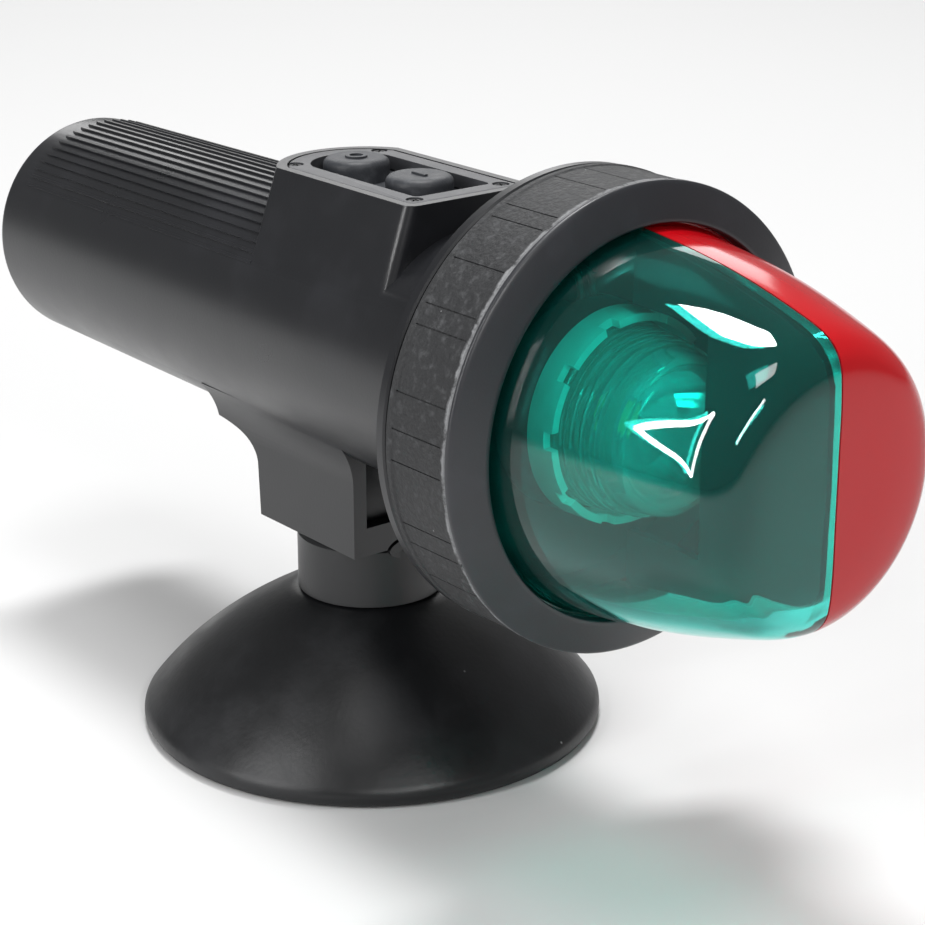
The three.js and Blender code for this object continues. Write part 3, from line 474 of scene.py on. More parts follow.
class Finish(Enum):
    """Every finish on the light.

    The skin grain of the moulded ones is finer on the real plastic; its millimetres are drawn
    coarser so that it shows.
    """

    # satin black with a broad soft gloss
    TUBE = Moulded("ABS moulded satin black", "17181b", "222327", 0.31, 0.05, 1.53, 0.5, 0.03, 0.3, 26.0)
    # the same plastic a little duller, from a sparked mould; on the collar's skirt its black is painted shade
    POST = Moulded("ABS moulded black post", "18191b", "222326", 0.36, 0.05, 1.53, 0.5, 0.04, 0.3, 18.0)
    # charcoal grey with a fine grain that breaks the gloss
    FRAME = Moulded("ABS moulded fine texture", "3c3d40", "4b4c4f", 0.46, 0.05, 1.53, 0.3, 0.1, 0.4, 6.0)
    # dark grey-black that shows its coned face as one even band of light
    RING = Moulded("ABS turned-face black", "27282c", "33343a", 0.37, 0.05, 1.53, 0.35, 0.06, 0.4, 20.0)
    # deep soft black with a wide sheen and pale dust
    CUP = Moulded("PVC pressed soft black", "101113", "1f2023", 0.4, 0.1, 1.52, 0.9, 0.04, 0.5, 17.0, 7.0)
    # matt greyed rubber, dusty in its grooves, with a pale ragged line along the front edge that is partly
    # rubbed rubber and partly a painted edge highlight
    GRIP = Moulded(
        "EPDM moulded grip rubber", "1f2022", "4c4d4f",
        0.68, 0.12, 1.52, 0.7, 0.4, 0.3, 1.5, 2.6, "ring_grip",
    )
    # soft dark grey with a satin dome
    KEY = Moulded("silicone keypad rubber", "303236", "4d4f53", 0.5, 0.08, 1.41, 0.5, 0.12, 0.4, 3.0)
    # cool white that takes the lens's green and red
    WHITE = Moulded("ABS moulded white", "e9efec", "d6dcd8", 0.4, 0.06, 1.53, 0.5, 0.03, 0.3, 6.0)
    # green lacquer over glass cloth
    BOARD = Moulded("FR4 solder-masked board", "1f5a3a", "18492f", 0.45, 0.08, 1.55, 1.2, 0.1, 0.4, 3.0)
    # yellow and slightly milky
    PHOSPHOR = Moulded("silicone phosphor dome", "e9c95a", "f0d878", 0.35, 0.05, 1.41, 0.4, 0.05, 0.4, 1.0)
    # graphite film, tight and glossy
    SLEEVE = Moulded("PVC shrink sleeve graphite", "35393f", "41464d", 0.32, 0.06, 1.53, 2.0, 0.05, 0.4, 12.0)
    # plain dull insulation
    RED_WIRE = Moulded("PVC extruded red", "a3201e", "b43530", 0.45, 0.05, 1.53, 0.6, 0.03, 0.3, 3.0)
    BLACK_WIRE = Moulded("PVC extruded black", "1a1a1c", "26262a", 0.45, 0.05, 1.53, 0.6, 0.03, 0.3, 3.0)
    # clear sea green with sharp highlights, deeper where the wall is seen edge on
    GREEN_LENS = ClearMoulded("acrylic moulded polished green", "3bd8cb", 0.985, 0.02, 0.02, 1.49)
    # dense ruby that hides most of what is behind it
    RED_LENS = ClearMoulded("acrylic moulded polished red", "cb0f1a", 0.3, 0.12, 0.02, 1.49)
    # water clear with bright lines along its steps
    CLEAR = ClearMoulded("polycarbonate polished clear", "f6fbfa", 0.86, 0.04)
    # bright mirror
    MIRROR = Plated("aluminium vacuum-metallised", "e4e6e8", 0.08)
    # pale grey metal with a soft shine
    STEEL = Plated("steel zinc-plated", "a9abad", 0.34)
    # nearly black metal that glints in its recess
    SCREW = Plated("steel black-oxide screw", "2b2c2e", 0.42)
    # warm silver
    NICKEL = Plated("spring bronze nickel-plated", "c2beb2", 0.28)


class Slot(Enum):
    """The record's material slots."""

    BLACK = "black_plastic"
    RUBBER = "rubber"
    STEEL = "steel"
    WHITE = "white_plastic"
    CLEAR = "clear_plastic"
    CHROME = "chrome"
    GREEN = "green_lens"
    RED = "red_lens"


# ------------------------------------------------------------------ mesh tools


def turned(points: Sequence[Point], steps: int = ROUND, upright: bool = False) -> Mesh:
    """Spins an outline of (radius, along) points about +Y, or about +Z when upright.

    Args:
        points: the outline; it closes itself unless it starts and ends on the axis.
        steps: steps round the circle.
        upright: spin about +Z instead of +Y.

    Returns:
        A closed bmesh in millimetres.
    """
    bm = bmesh.new()
    verts = [bm.verts.new((r, 0, a) if upright else (r, a, 0)) for r, a in points]
    edges = [bm.edges.new(pair) for pair in zip(verts, verts[1:])]
    if points[0][0] > 1e-6 or points[-1][0] > 1e-6:
        edges.append(bm.edges.new((verts[-1], verts[0])))
    bmesh.ops.spin(
        bm,
        geom=verts + edges,
        cent=(0, 0, 0),
        axis=(0, 0, 1) if upright else (0, 1, 0),
        angle=2 * math.pi,
        steps=steps,
        use_merge=True,
        use_duplicate=False,
    )
    bmesh.ops.remove_doubles(bm, verts=bm.verts, dist=1e-5)
    bmesh.ops.recalc_face_normals(bm, faces=bm.faces)
    return bm


def extruded(outline: Sequence[Place], way: Place) -> Mesh:
    """Raises a flat outline along a vector into a closed prism.

    Args:
        outline: corners in order.
        way: the extrusion vector.

    Returns:
        A closed bmesh in millimetres.
    """
    bm = bmesh.new()
    face = bm.faces.new([bm.verts.new(p) for p in outline])
    grown = bmesh.ops.extrude_face_region(bm, geom=[face])
    raised = [g for g in grown["geom"] if isinstance(g, bmesh.types.BMVert)]
    bmesh.ops.translate(bm, verts=raised, vec=way)
    bmesh.ops.recalc_face_normals(bm, faces=bm.faces)
    return bm


def box_mesh(low: Sequence[float], high: Sequence[float], bevel: float = 0.0) -> Mesh:
    """A block between two corners.

    Args:
        low: lowest corner.
        high: highest corner.
        bevel: rounding of its edges in millimetres.

    Returns:
        A closed bmesh.
    """
    bm = bmesh.new()
    bmesh.ops.create_cube(bm, size=1.0)
    size = [h - l for l, h in zip(low, high)]
    centre = [(h + l) / 2 for l, h in zip(low, high)]
    bmesh.ops.scale(bm, vec=size, verts=bm.verts)
    bmesh.ops.translate(bm, vec=centre, verts=bm.verts)
    if bevel:
        bmesh.ops.bevel(
            bm, geom=bm.edges[:], offset=bevel, segments=2, profile=0.5, affect="EDGES", material=-1
        )
    return bm


def pin(place: Point, radius: float, low: float, high: float) -> Mesh:
    """An upright round pin.

    Args:
        place: its axis in plan.
        radius: its radius.
        low: bottom.
        high: top.

    Returns:
        A closed bmesh.
    """
    bm = bmesh.new()
    bmesh.ops.create_cone(bm, cap_ends=True, segments=32, radius1=radius, radius2=radius, depth=high - low)
    bmesh.ops.translate(bm, vec=(place[0], place[1], (low + high) / 2), verts=bm.verts)
    return bm


def bezier(start: Point, control: Point, end: Point, steps: int) -> Outline:
    """Points on a quadratic curve, both ends included.

    Args:
        start: first point.
        control: where the tangents of both ends meet.
        end: last point.
        steps: pieces of the curve.

    Returns:
        The points in order.
    """
    shares = [i / steps for i in range(steps + 1)]
    return [
        tuple((1 - t) ** 2 * a + 2 * t * (1 - t) * b + t * t * c for a, b, c in zip(start, control, end))
        for t in shares
    ]


def between(a: float, b: float, c: float, d: float, t: float) -> float:
    """Catmull-Rom value between b and c.

    Args:
        a: value before b.
        b: value at share 0.
        c: value at share 1.
        d: value after c.
        t: share of the way from b to c.

    Returns:
        The value there.
    """
    square = (2 * a - 5 * b + 4 * c - d) * t * t
    cube = (3 * b - a - 3 * c + d) * t**3
    return 0.5 * (2 * b + (c - a) * t + square + cube)


def eased(points: Outline, steps: int) -> Outline:
    """Smooth curve through all the points.

    Args:
        points: points to pass through.
        steps: pieces between two neighbours.

    Returns:
        The finer outline.
    """
    padded = [points[0], *points, points[-1]]
    fine: Outline = []
    for corners in zip(padded, padded[1:], padded[2:], padded[3:]):
        for i in range(steps):
            fine.append(tuple(between(*values, i / steps) for values in zip(*corners)))
    return [*fine, points[-1]]


def joined(parts: Iterable[Mesh]) -> Mesh:
    """Puts several closed meshes, clear of each other, in one and frees them.

    Args:
        parts: the meshes.

    Returns:
        One bmesh that holds them all.
    """
    whole = bmesh.new()
    for part in parts:
        holder = bpy.data.meshes.new("holder")
        part.to_mesh(holder)
        part.free()
        whole.from_mesh(holder)
        bpy.data.meshes.remove(holder)
    return whole


def carved(body: Mesh, tool: Mesh, how: str = "DIFFERENCE") -> Mesh:
    """Cuts, joins or intersects one closed mesh with another, and frees both.

    Args:
        body: the mesh that is kept.
        tool: the mesh that cuts it or is added to it.
        how: DIFFERENCE, UNION or INTERSECT.

    Returns:
        The result as a new bmesh.
    """
    objects = []
    for bm in (body, tool):
        data = bpy.data.meshes.new("carving")
        bm.to_mesh(data)
        bm.free()
        obj = bpy.data.objects.new("carving", data)
        bpy.context.scene.collection.objects.link(obj)
        objects.append(obj)
    knife = objects[0].modifiers.new("carve", "BOOLEAN")
    knife.operation = how
    knife.solver = "EXACT"
    knife.object = objects[1]
    bpy.context.view_layer.update()
    done = bmesh.new()
    done.from_object(objects[0], bpy.context.evaluated_depsgraph_get())
    for obj in objects:
        data = obj.data
        bpy.data.objects.remove(obj)
        bpy.data.meshes.remove(data)
    bmesh.ops.remove_doubles(done, verts=done.verts, dist=1e-4)
    bmesh.ops.dissolve_degenerate(done, edges=done.edges, dist=1e-4)
    return done


def cut_off(bm: Mesh, point: Sequence[float], normal: Sequence[float]) -> Mesh:
    """Cuts away what lies ahead of a plane and closes the cut.

    Args:
        bm: closed mesh, changed in place.
        point: a point on the plane, in millimetres.
        normal: the plane's normal, towards the part that goes.

    Returns:
        The same mesh, closed.
    """
    everything = bm.verts[:] + bm.edges[:] + bm.faces[:]
    bmesh.ops.bisect_plane(bm, geom=everything, plane_co=point, plane_no=normal, clear_outer=True, dist=1e-5)
    rim = [e for e in bm.edges if e.is_boundary]
    bmesh.ops.triangle_fill(bm, edges=rim, use_beauty=True)
    bmesh.ops.recalc_face_normals(bm, faces=bm.faces)
    return bm


@dataclass
class Piece:
    """One finished piece: its mesh, its finish, the body it rides on and what it stands for.

    Attributes:
        name: object name.
        mesh: closed bmesh in millimetres about the seat.
        seat: the local origin.
        body: CAD body it rides on.
        stands_for: CAD nodes that it replaces.
        finish: its material.
        slot: the record's material slot; not used.
        soften: width of the rounded edges, in millimetres.
        sharp: angle in degrees above which an edge is rounded and stays crisp.
    """

    name: str
    mesh: Mesh
    seat: Seat
    body: str
    stands_for: tuple[str, ...]
    finish: Finish
    slot: Slot
    soften: float = 0.25
    sharp: float = 32.0

    def place(self) -> bpy.types.Object:
        """Makes the object, dresses it, parents it to its body's empty and hides the CAD nodes it stands for.

        Returns:
            The placed object.
        """
        data = bpy.data.meshes.new(self.name)
        self.mesh.to_mesh(data)
        self.mesh.free()
        data.transform(self.seat.matrix())
        data.polygons.foreach_set("use_smooth", [True] * len(data.polygons))
        data.set_sharp_from_angle(angle=math.radians(self.sharp))
        obj = bpy.data.objects.new(self.name, data)
        bpy.context.scene.collection.objects.link(obj)
        data.materials.append(self.finish.value.material())
        if self.soften:
            rounding = obj.modifiers.new("rounded edges", "BEVEL")
            rounding.width = self.soften * MM
            rounding.segments = 2
            rounding.limit_method = "ANGLE"
            rounding.angle_limit = math.radians(self.sharp)
            rounding.use_clamp_overlap = True
            rounding.harden_normals = True
        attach(obj, self.body)
        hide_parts(*self.stands_for)
        log.info("%s: %d faces, rides on %s", self.name, len(data.polygons), self.body)
        return obj


# ------------------------------------------------------------------ suction-cup foot


@dataclass
class Foot:
    """Rubber suction cup and the moulded post that stands on it."""

    radius: float = field(default_factory=lambda: span("suction_cup", 0, FOOT_SEAT)[1])
    dome: float = field(default_factory=lambda: span("suction_cup", 2, FOOT_SEAT)[1])
    neck: float = field(default_factory=lambda: span("mount_post", 0, FOOT_SEAT)[1])
    post_foot: float = field(default_factory=lambda: span("mount_post", 2, FOOT_SEAT)[0])
    tongue_top: float = field(default_factory=lambda: span("mount_post", 2, FOOT_SEAT)[1])
    post_top: float = field(default_factory=lambda: span("housing", 2, FOOT_SEAT)[0] - 0.3)
    hollow: float = 11.0
    lip: float = 3.0
    shoulder: tuple[float, float] = (31.0, 14.5)
    foot_radius: float = 9.0
    foot_thickness: float = 2.5
    stem: float = 5.5
    tongue_half: float = 9.55
    tongue_front: float = -9.55
    tongue_rear: float = 10.05
    tongue_wall: float = 2.0
    gap: float = 0.3

    def cup(self) -> Mesh:
        """The cup: a swept dome over a shallow hollow, with a rolled lip and a fillet at the neck.

        Returns:
            A closed bmesh about the foot's seat.
        """
        outer = bezier((self.radius - 0.3, self.lip), self.shoulder, (self.neck + 1.2, self.dome - 0.35), 36)
        edge = self.radius - 4.5
        inner = bezier((0.0, self.hollow), (edge * 0.55, self.hollow), (edge, 0.0), 16)
        lip = [
            (self.radius - 1.5, 0.0),
            (self.radius - 0.5, 0.35),
            (self.radius - 0.08, 1.0),
            (self.radius, 1.6),
            (self.radius - 0.06, 2.3),
        ]
        well = [
            (self.neck - 0.2, self.dome),
            (self.stem + self.gap, self.dome),
            (self.stem + self.gap, self.post_foot + self.foot_thickness + self.gap),
            (self.foot_radius + self.gap, self.post_foot + self.foot_thickness + self.gap),
            (self.foot_radius + self.gap, self.post_foot - self.gap),
            (0.0, self.post_foot - self.gap),
        ]
        return turned([*inner, *lip, *outer, *well], upright=True)

    def post(self) -> Mesh:
        """The post with its hollow tongue and the locating lug at the front.

        Returns:
            A closed bmesh about the foot's seat.
        """
        shaft = turned(
            [
                (0.0, self.post_foot),
                (self.foot_radius, self.post_foot),
                (self.foot_radius, self.post_foot + self.foot_thickness),
                (self.stem, self.post_foot + self.foot_thickness),
                (self.stem, self.dome + self.gap),
                (self.neck, self.dome + self.gap),
                (self.neck, self.post_top - 0.6),
                (self.neck - 0.6, self.post_top),
                (0.0, self.post_top),
            ],
            upright=True,
        )
        half, front, rear, wall = self.tongue_half, self.tongue_front, self.tongue_rear, self.tongue_wall
        tongue = box_mesh((-half, front, self.post_top - 1), (half, rear, self.tongue_top), 0.4)
        core = box_mesh(
            (-half + wall, front + wall, self.post_top + 1),
            (half - wall, rear - wall, self.tongue_top + 1),
        )
        lug = turned([(0, -1.5), (5.0, -1.5), (5.0, 1.5), (0, 1.5)], 48)
        bmesh.ops.scale(lug, vec=(1, 1, 0.36), verts=lug.verts)
        bmesh.ops.translate(lug, vec=(0, -self.neck + 1.8, self.post_top - 0.3), verts=lug.verts)
        return carved(carved(carved(shaft, tongue, "UNION"), lug, "UNION"), core)

    def build(self) -> None:
        """Makes and places the foot's pieces."""
        cup, post = ("suction_cup",), ("mount_post",)
        Piece("cup_rubber", self.cup(), FOOT_SEAT, "foot", cup, Finish.CUP, Slot.RUBBER, 0.0).place()
        Piece("post_moulding", self.post(), FOOT_SEAT, "foot", post, Finish.POST, Slot.BLACK, 0.3).place()


# ------------------------------------------------------------------ battery tube, pod walls and mount block


@dataclass
class TubeBody:
    """The black moulding that holds the batteries, the switch pod and the mount's socket."""

    end: float = field(default_factory=lambda: span("housing", 1)[1])
    flange_front: float = field(default_factory=lambda: span("lens_ring", 1)[1] + 0.5)
    spigot_front: float = field(default_factory=lambda: span("lens_gasket", 1)[1] + 0.3)
    flange: float = field(default_factory=lambda: span("ring_grip", 0)[1] - 0.15)
    spigot: float = field(default_factory=lambda: span("lens_gasket", 0)[1] + 0.2)
    bore: float = field(default_factory=lambda: span("battery_front", 0)[1] + 0.5)
    bore_end: float = field(default_factory=lambda: span("contact_strip", 1)[1] + 0.3)
    pod_top: float = field(default_factory=lambda: span("switch_frame", 2)[1])
    underside: float = field(default_factory=lambda: span("housing", 2)[0])
    rear_wall: float = 3.15
    front_wall: float = 4.5
    flange_thickness: float = 2.0
    spigot_wall: float = 2.0
    pod_half: float = 12.4
    pod_front: float = -28.2
    pod_end: float = 7.5
    pod_bulge: float = 7.3
    pod_flare: float = 0.37
    block_half: float = 12.5
    block_front: float = -12.5
    block_rear: float = 15.0
    ribs: int = 25
    rib_pitch: float = 1.75
    rib_height: float = 0.42
    fillet: float = 1.2
    wall: float = 1.5
    ledge: float = 1.6
    floor_thickness: float = 1.4
    frame_thickness: float = 2.2
    sweep: float = 12.0

    @property
    def flange_rear(self) -> float:
        """Rear face of the flange."""
        return self.flange_front + self.flange_thickness

    def radius_at(self, y: float) -> float:
        """Outer radius of the tapered tube at a place along it."""
        share = (y - self.flange_rear) / (self.end - self.flange_rear)
        return self.bore + self.front_wall + (self.rear_wall - self.front_wall) * share

    def tube(self) -> Mesh:
        """Tapered tube with a rounded closed end, a filleted flange and the spigot.

        Returns:
            A closed bmesh about the lamp's seat.
        """
        rear, front = self.radius_at(self.end), self.radius_at(self.flange_rear)
        edge = bezier((rear - 1.5, self.end), (rear, self.end), (rear, self.end - 1.5), 6)
        foot, size = self.flange_rear, self.fillet
        fillet = bezier((front, foot + size), (front, foot), (front + size, foot), 5)
        return turned(
            [
                (0.0, self.end),
                *edge,
                *fillet,
                (self.flange - 0.3, self.flange_rear),
                (self.flange, self.flange_rear - 0.3),
                (self.flange, self.flange_front + 0.3),
                (self.flange - 0.3, self.flange_front),
                (self.spigot, self.flange_front),
                (self.spigot, self.spigot_front + 0.3),
                (self.spigot - 0.3, self.spigot_front),
                (0.0, self.spigot_front),
            ]
        )

    def hollow(self) -> Mesh:
        """Battery bore and the wider hollow of the spigot.

        Returns:
            A closed bmesh about the lamp's seat.
        """
        inside = self.spigot - self.spigot_wall
        return turned(
            [
                (0.0, self.bore_end),
                (self.bore, self.bore_end),
                (self.bore, self.flange_front),
                (inside, self.flange_front),
                (inside, self.spigot_front - 1),
                (0.0, self.spigot_front - 1),
            ],
            96,
        )

    def pod_outline(self, margin: float, z: float) -> list[Place]:
        """Plan of the pod drawn in by a margin: a square front and a bowed rear.

        Args:
            margin: distance in from the pod's outside.
            z: height of the outline.

        Returns:
            Corners in order, front left first.
        """
        half = self.pod_half - margin
        front = self.pod_front + margin
        end = self.pod_end - margin * 0.7
        bulge = self.pod_bulge - margin * 0.3
        radius = (half * half + bulge * bulge) / (2 * bulge)
        centre = end + bulge - radius
        spread = math.asin(half / radius)
        arc = [spread - 2 * spread * i / 24 for i in range(25)]
        bow = [(radius * math.sin(a), centre + radius * math.cos(a), z) for a in arc]
        return [(-half, front, z), (half, front, z), *bow]

    def pod(
        self, margin: float, low: float, high: float, corner: float, flared: bool = False
    ) -> Mesh:
        """The pod's form between two heights.

        Args:
            margin: distance in from the pod's outside.
            low: bottom.
            high: top.
            corner: radius of the two front corners.
            flared: widen it downwards as the outside walls do.

        Returns:
            A closed bmesh.
        """
        bm = extruded(self.pod_outline(margin, low), (0, 0, high - low))
        front = self.pod_front + margin
        posts = [
            e
            for e in bm.edges
            if abs(e.verts[0].co.z - e.verts[1].co.z) > 0.1 and abs(e.verts[0].co.y - front) < 0.01
        ]
        bmesh.ops.bevel(
            bm, geom=posts, offset=corner, segments=6, profile=0.5, affect="EDGES", material=-1
        )
        if flared:
            for vert in bm.verts:
                vert.co.x *= 1 + self.pod_flare * (self.pod_top - vert.co.z) / self.pod_half
        return bm

    def block(self) -> Mesh:
        """Mount block: one profile seen from the front met by another seen from the side.

        Returns:
            A closed bmesh about the lamp's seat.
        """
        top = -self.bore * 0.8
        line = -(self.bore + self.front_wall + 0.5)
        half, low = self.block_half, self.underside
        rear, end = self.block_rear, self.block_rear + self.sweep
        curve = bezier((half, line), (half + 0.2, line + 4.5), (half + 3.7, top), 10)
        across = [(-half, low), (half, low), *curve, *[(-x, z) for x, z in reversed(curve)]]
        length = end - self.block_front + 1
        front_form = extruded([(x, self.block_front - 1, z) for x, z in across], (0, length, 0))
        sweep = bezier((rear + 0.5, line - 3.5), (rear + 1.5, line + 1), (end, line + 2), 10)
        along = [(self.block_front, low), (rear, low), *sweep, (end, top), (self.block_front, top)]
        side_form = extruded([(-half - 5, y, z) for y, z in along], (2 * half + 10, 0, 0))
        return carved(front_form, side_form, "INTERSECT")

    def socket(self) -> list[Mesh]:
        """Socket for the post's tongue, the window in front and the arched notch for the lug.

        Returns:
            The three forms that are cut out of the block.
        """
        roof = -(self.bore + 2)
        low = self.underside
        notch = turned([(0, -2.8), (5.8, -2.8), (5.8, 2.8), (0, 2.8)], 48)
        bmesh.ops.scale(notch, vec=(1, 1, 2.4 / 5.8), verts=notch.verts)
        bmesh.ops.translate(notch, vec=(0, self.block_front, low - 0.4), verts=notch.verts)
        return [
            box_mesh((-9.9, -9.9, low - 1), (9.9, 10.4, roof)),
            box_mesh((-9.9, -14.5, low + 4.9), (9.9, -8.9, roof + 0.6)),
            notch,
        ]

    def rib(self, index: int) -> Mesh:
        """One fine grip rib with sloped flanks; the outermost ribs fade into the tube.

        Args:
            index: its number, counted across the tube's top.

        Returns:
            A closed bmesh about the lamp's seat.
        """
        start, stop = self.pod_end, self.end - 6
        middle_y = (start + stop) / 2
        place = index - (self.ribs - 1) / 2
        fade = 1 - (abs(place) / (self.ribs / 2)) ** 5
        height = max(self.rib_height * fade, 0.08)
        length = stop - start
        section = [(-0.55, 0, -0.6), (0.55, 0, -0.6), (0.24, 0, height), (-0.24, 0, height)]
        bm = extruded(section, (0, length, 0))
        bmesh.ops.translate(bm, vec=(0, -length / 2, 0), verts=bm.verts)
        lean = math.atan2(self.front_wall - self.rear_wall, self.end - self.flange_rear)
        seat = Matrix.Translation((0, middle_y, self.radius_at(middle_y))) @ Matrix.Rotation(-lean, 4, "X")
        turn = Matrix.Rotation(place * self.rib_pitch / self.radius_at(middle_y), 4, "Y")
        bmesh.ops.transform(bm, matrix=turn @ seat, verts=bm.verts)
        return bm

    def mesh(self) -> Mesh:
        """The whole moulding.

        Returns:
            A closed bmesh about the lamp's seat.
        """
        body = self.tube()
        for form in (
            self.pod(0.0, self.bore * 0.4, self.pod_top, 2.0, flared=True),
            self.block(),
            joined([self.rib(i) for i in range(0, self.ribs, 2)]),
            joined([self.rib(i) for i in range(1, self.ribs, 2)]),
            ThreadForm(self.spigot, self.flange_front - THREAD_START).rod(THREAD_ROD, 0.0, 0.0),
        ):
            body = carved(body, form, "UNION")
        floor = self.bore + self.floor_thickness
        frame_low = self.pod_top - self.frame_thickness
        cuts = [
            self.hollow(),
            self.pod(self.wall, frame_low - 0.3, self.pod_top + 1, 0.9),
            self.pod(self.wall + self.ledge, floor, self.pod_top, 0.4),
            box_mesh((-3.4, self.flange_front - 1, floor), (3.4, self.pod_front + 3.5, self.bore + 3.4)),
            box_mesh(
                (self.bore - 2, self.flange_front - 1, -2.8), (self.bore + 1.1, self.bore_end - 0.15, 2.8)
            ),
            *self.socket(),
        ]
        for form in cuts:
            body = carved(body, form)
        pillars = []
        holes = []
        for x, y in SwitchPod().screws():
            pillars.append(pin((x, y), 1.9, floor - 0.2, frame_low - 0.3))
            holes.append(pin((x, y), 0.8, frame_low - 4.3, frame_low + 0.7))
        return carved(carved(body, joined(pillars), "UNION"), joined(holes))

    def build(self) -> None:
        """Makes and places the moulding."""
        mesh, node = self.mesh(), ("housing",)
        Piece("tube_moulding", mesh, LAMP_SEAT, "lamp", node, Finish.TUBE, Slot.BLACK, 0.28, 34.0).place()


@dataclass
class ThreadForm:
    """Right-hand screw thread between spigot and ring.

    Attributes:
        radius: centre line of the thread.
        rear: rear end of the spigot's ridge.
        pitch: advance in one turn.
        turns: turns of the ridge.
    """

    radius: float
    rear: float
    pitch: float = 3.0
    turns: float = 1.25

    def rod(self, thickness: float, rear_turns: float, front_turns: float) -> Mesh:
        """A round rod along the thread.

        Args:
            thickness: the rod's radius.
            rear_turns: extra turns aft of the ridge.
            front_turns: extra turns ahead of it.

        Returns:
            A closed bmesh.
        """
        turns = rear_turns + self.turns + front_turns
        steps = round(turns * 72)
        bm = bmesh.new()
        made = bmesh.ops.create_circle(bm, cap_ends=True, segments=12, radius=thickness)
        across = Matrix.Translation((0, self.rear + rear_turns * self.pitch, self.radius))
        turn = Matrix.Rotation(math.radians(90), 4, "Y")
        bmesh.ops.transform(bm, matrix=across @ turn, verts=made["verts"])
        begin = Matrix.Rotation(2 * math.pi * rear_turns, 4, "Y")
        bmesh.ops.transform(bm, matrix=begin, verts=made["verts"])
        bmesh.ops.spin(
            bm,
            geom=bm.verts[:] + bm.edges[:] + bm.faces[:],
            cent=(0, 0, 0),
            axis=(0, 1, 0),
            angle=-2 * math.pi * turns,
            dvec=(0, -turns * self.pitch / steps, 0),
            steps=steps,
        )
        bmesh.ops.remove_doubles(bm, verts=bm.verts, dist=1e-5)
        bmesh.ops.recalc_face_normals(bm, faces=bm.faces)
        return bm


# ------------------------------------------------------------------ screw ring


@dataclass
class ScrewRing:
    """Screw ring that holds the lens, and its rubber band."""

    rear: float = field(default_factory=lambda: span("lens_ring", 1)[1])
    tip: float = field(default_factory=lambda: span("lens_ring", 1)[0])
    radius: float = field(default_factory=lambda: span("lens_ring", 0)[1])
    bore: float = field(default_factory=lambda: span("lens_green", 2)[1] + 0.3)
    lip_back: float = field(default_factory=lambda: span("lens_gasket", 1)[0] - 2.9)
    grip_front: float = field(default_factory=lambda: span("ring_grip", 1)[0])
    cone: float = 2.4
    wall: float = 2.05
    opening: float = 30.0
    grooves: int = 34
    groove_rear_turns: float = 1.2
    groove_front_turns: float = 0.2

    def ring(self) -> Mesh:
        """Ring with a coned front face, rounded rims and the thread groove.

        Returns:
            A closed bmesh about the lamp's seat.
        """
        front = self.tip + self.cone
        shell = self.bore + self.wall
        edge = self.grip_front - 0.2
        outer_rim = bezier(
            (self.radius, front + 0.3), (self.radius, front), (self.radius - 0.8, front - 0.33), 4
        )
        inner_rim = bezier(
            (self.opening + 0.9, self.tip + 0.34),
            (self.opening, self.tip),
            (self.opening, self.tip + 0.7),
            4,
        )
        body = turned(
            [
                (self.bore, self.rear),
                (shell, self.rear),
                (shell, edge),
                (self.radius, edge),
                *outer_rim,
                *inner_rim,
                (self.opening, self.lip_back),
                (self.bore, self.lip_back),
            ],
            FINE_ROUND,
        )
        thread = ThreadForm(self.bore - 0.5, self.rear + 0.5 - THREAD_START)
        groove = thread.rod(THREAD_ROD + THREAD_ROOM, self.groove_rear_turns, self.groove_front_turns)
        return carved(body, groove)

    def grip(self) -> Mesh:
        """Rubber band with a proud lip at each edge and fine grooves across it.

        Returns:
            A closed bmesh about the lamp's seat.
        """
        inner = self.bore + self.wall + 0.2
        outer = self.radius
        body = turned(
            [
                (inner, self.rear),
                (outer - 0.25, self.rear),
                (outer, self.rear - 0.25),
                (outer, self.rear - 1.1),
                (outer - 0.2, self.rear - 1.4),
                (outer - 0.2, self.grip_front + 1.2),
                (outer - 0.03, self.grip_front + 0.9),
                (outer - 0.03, self.grip_front + 0.3),
                (outer - 0.3, self.grip_front),
                (inner, self.grip_front),
            ],
            FINE_ROUND,
        )
        slits = []
        for i in range(self.grooves):
            slit = box_mesh((-0.1, self.grip_front + 1.1, outer - 0.42), (0.1, self.rear - 1.3, outer + 1))
            turn = Matrix.Rotation(2 * math.pi * (i + 0.3 * math.sin(i * 2.3)) / self.grooves, 4, "Y")
            bmesh.ops.transform(slit, matrix=turn, verts=slit.verts)
            slits.append(slit)
        return carved(body, joined(slits))

    def build(self) -> None:
        """Makes and places the ring and its band."""
        ring, band = self.ring(), self.grip()
        Piece(
            "ring_moulding", ring, LAMP_SEAT, "ring", ("lens_ring",), Finish.RING, Slot.BLACK, 0.0, 30.0
        ).place()
        Piece(
            "grip_band", band, LAMP_SEAT, "ring", ("ring_grip",), Finish.GRIP, Slot.RUBBER, 0.0, 30.0
        ).place()


# ------------------------------------------------------------------ lens


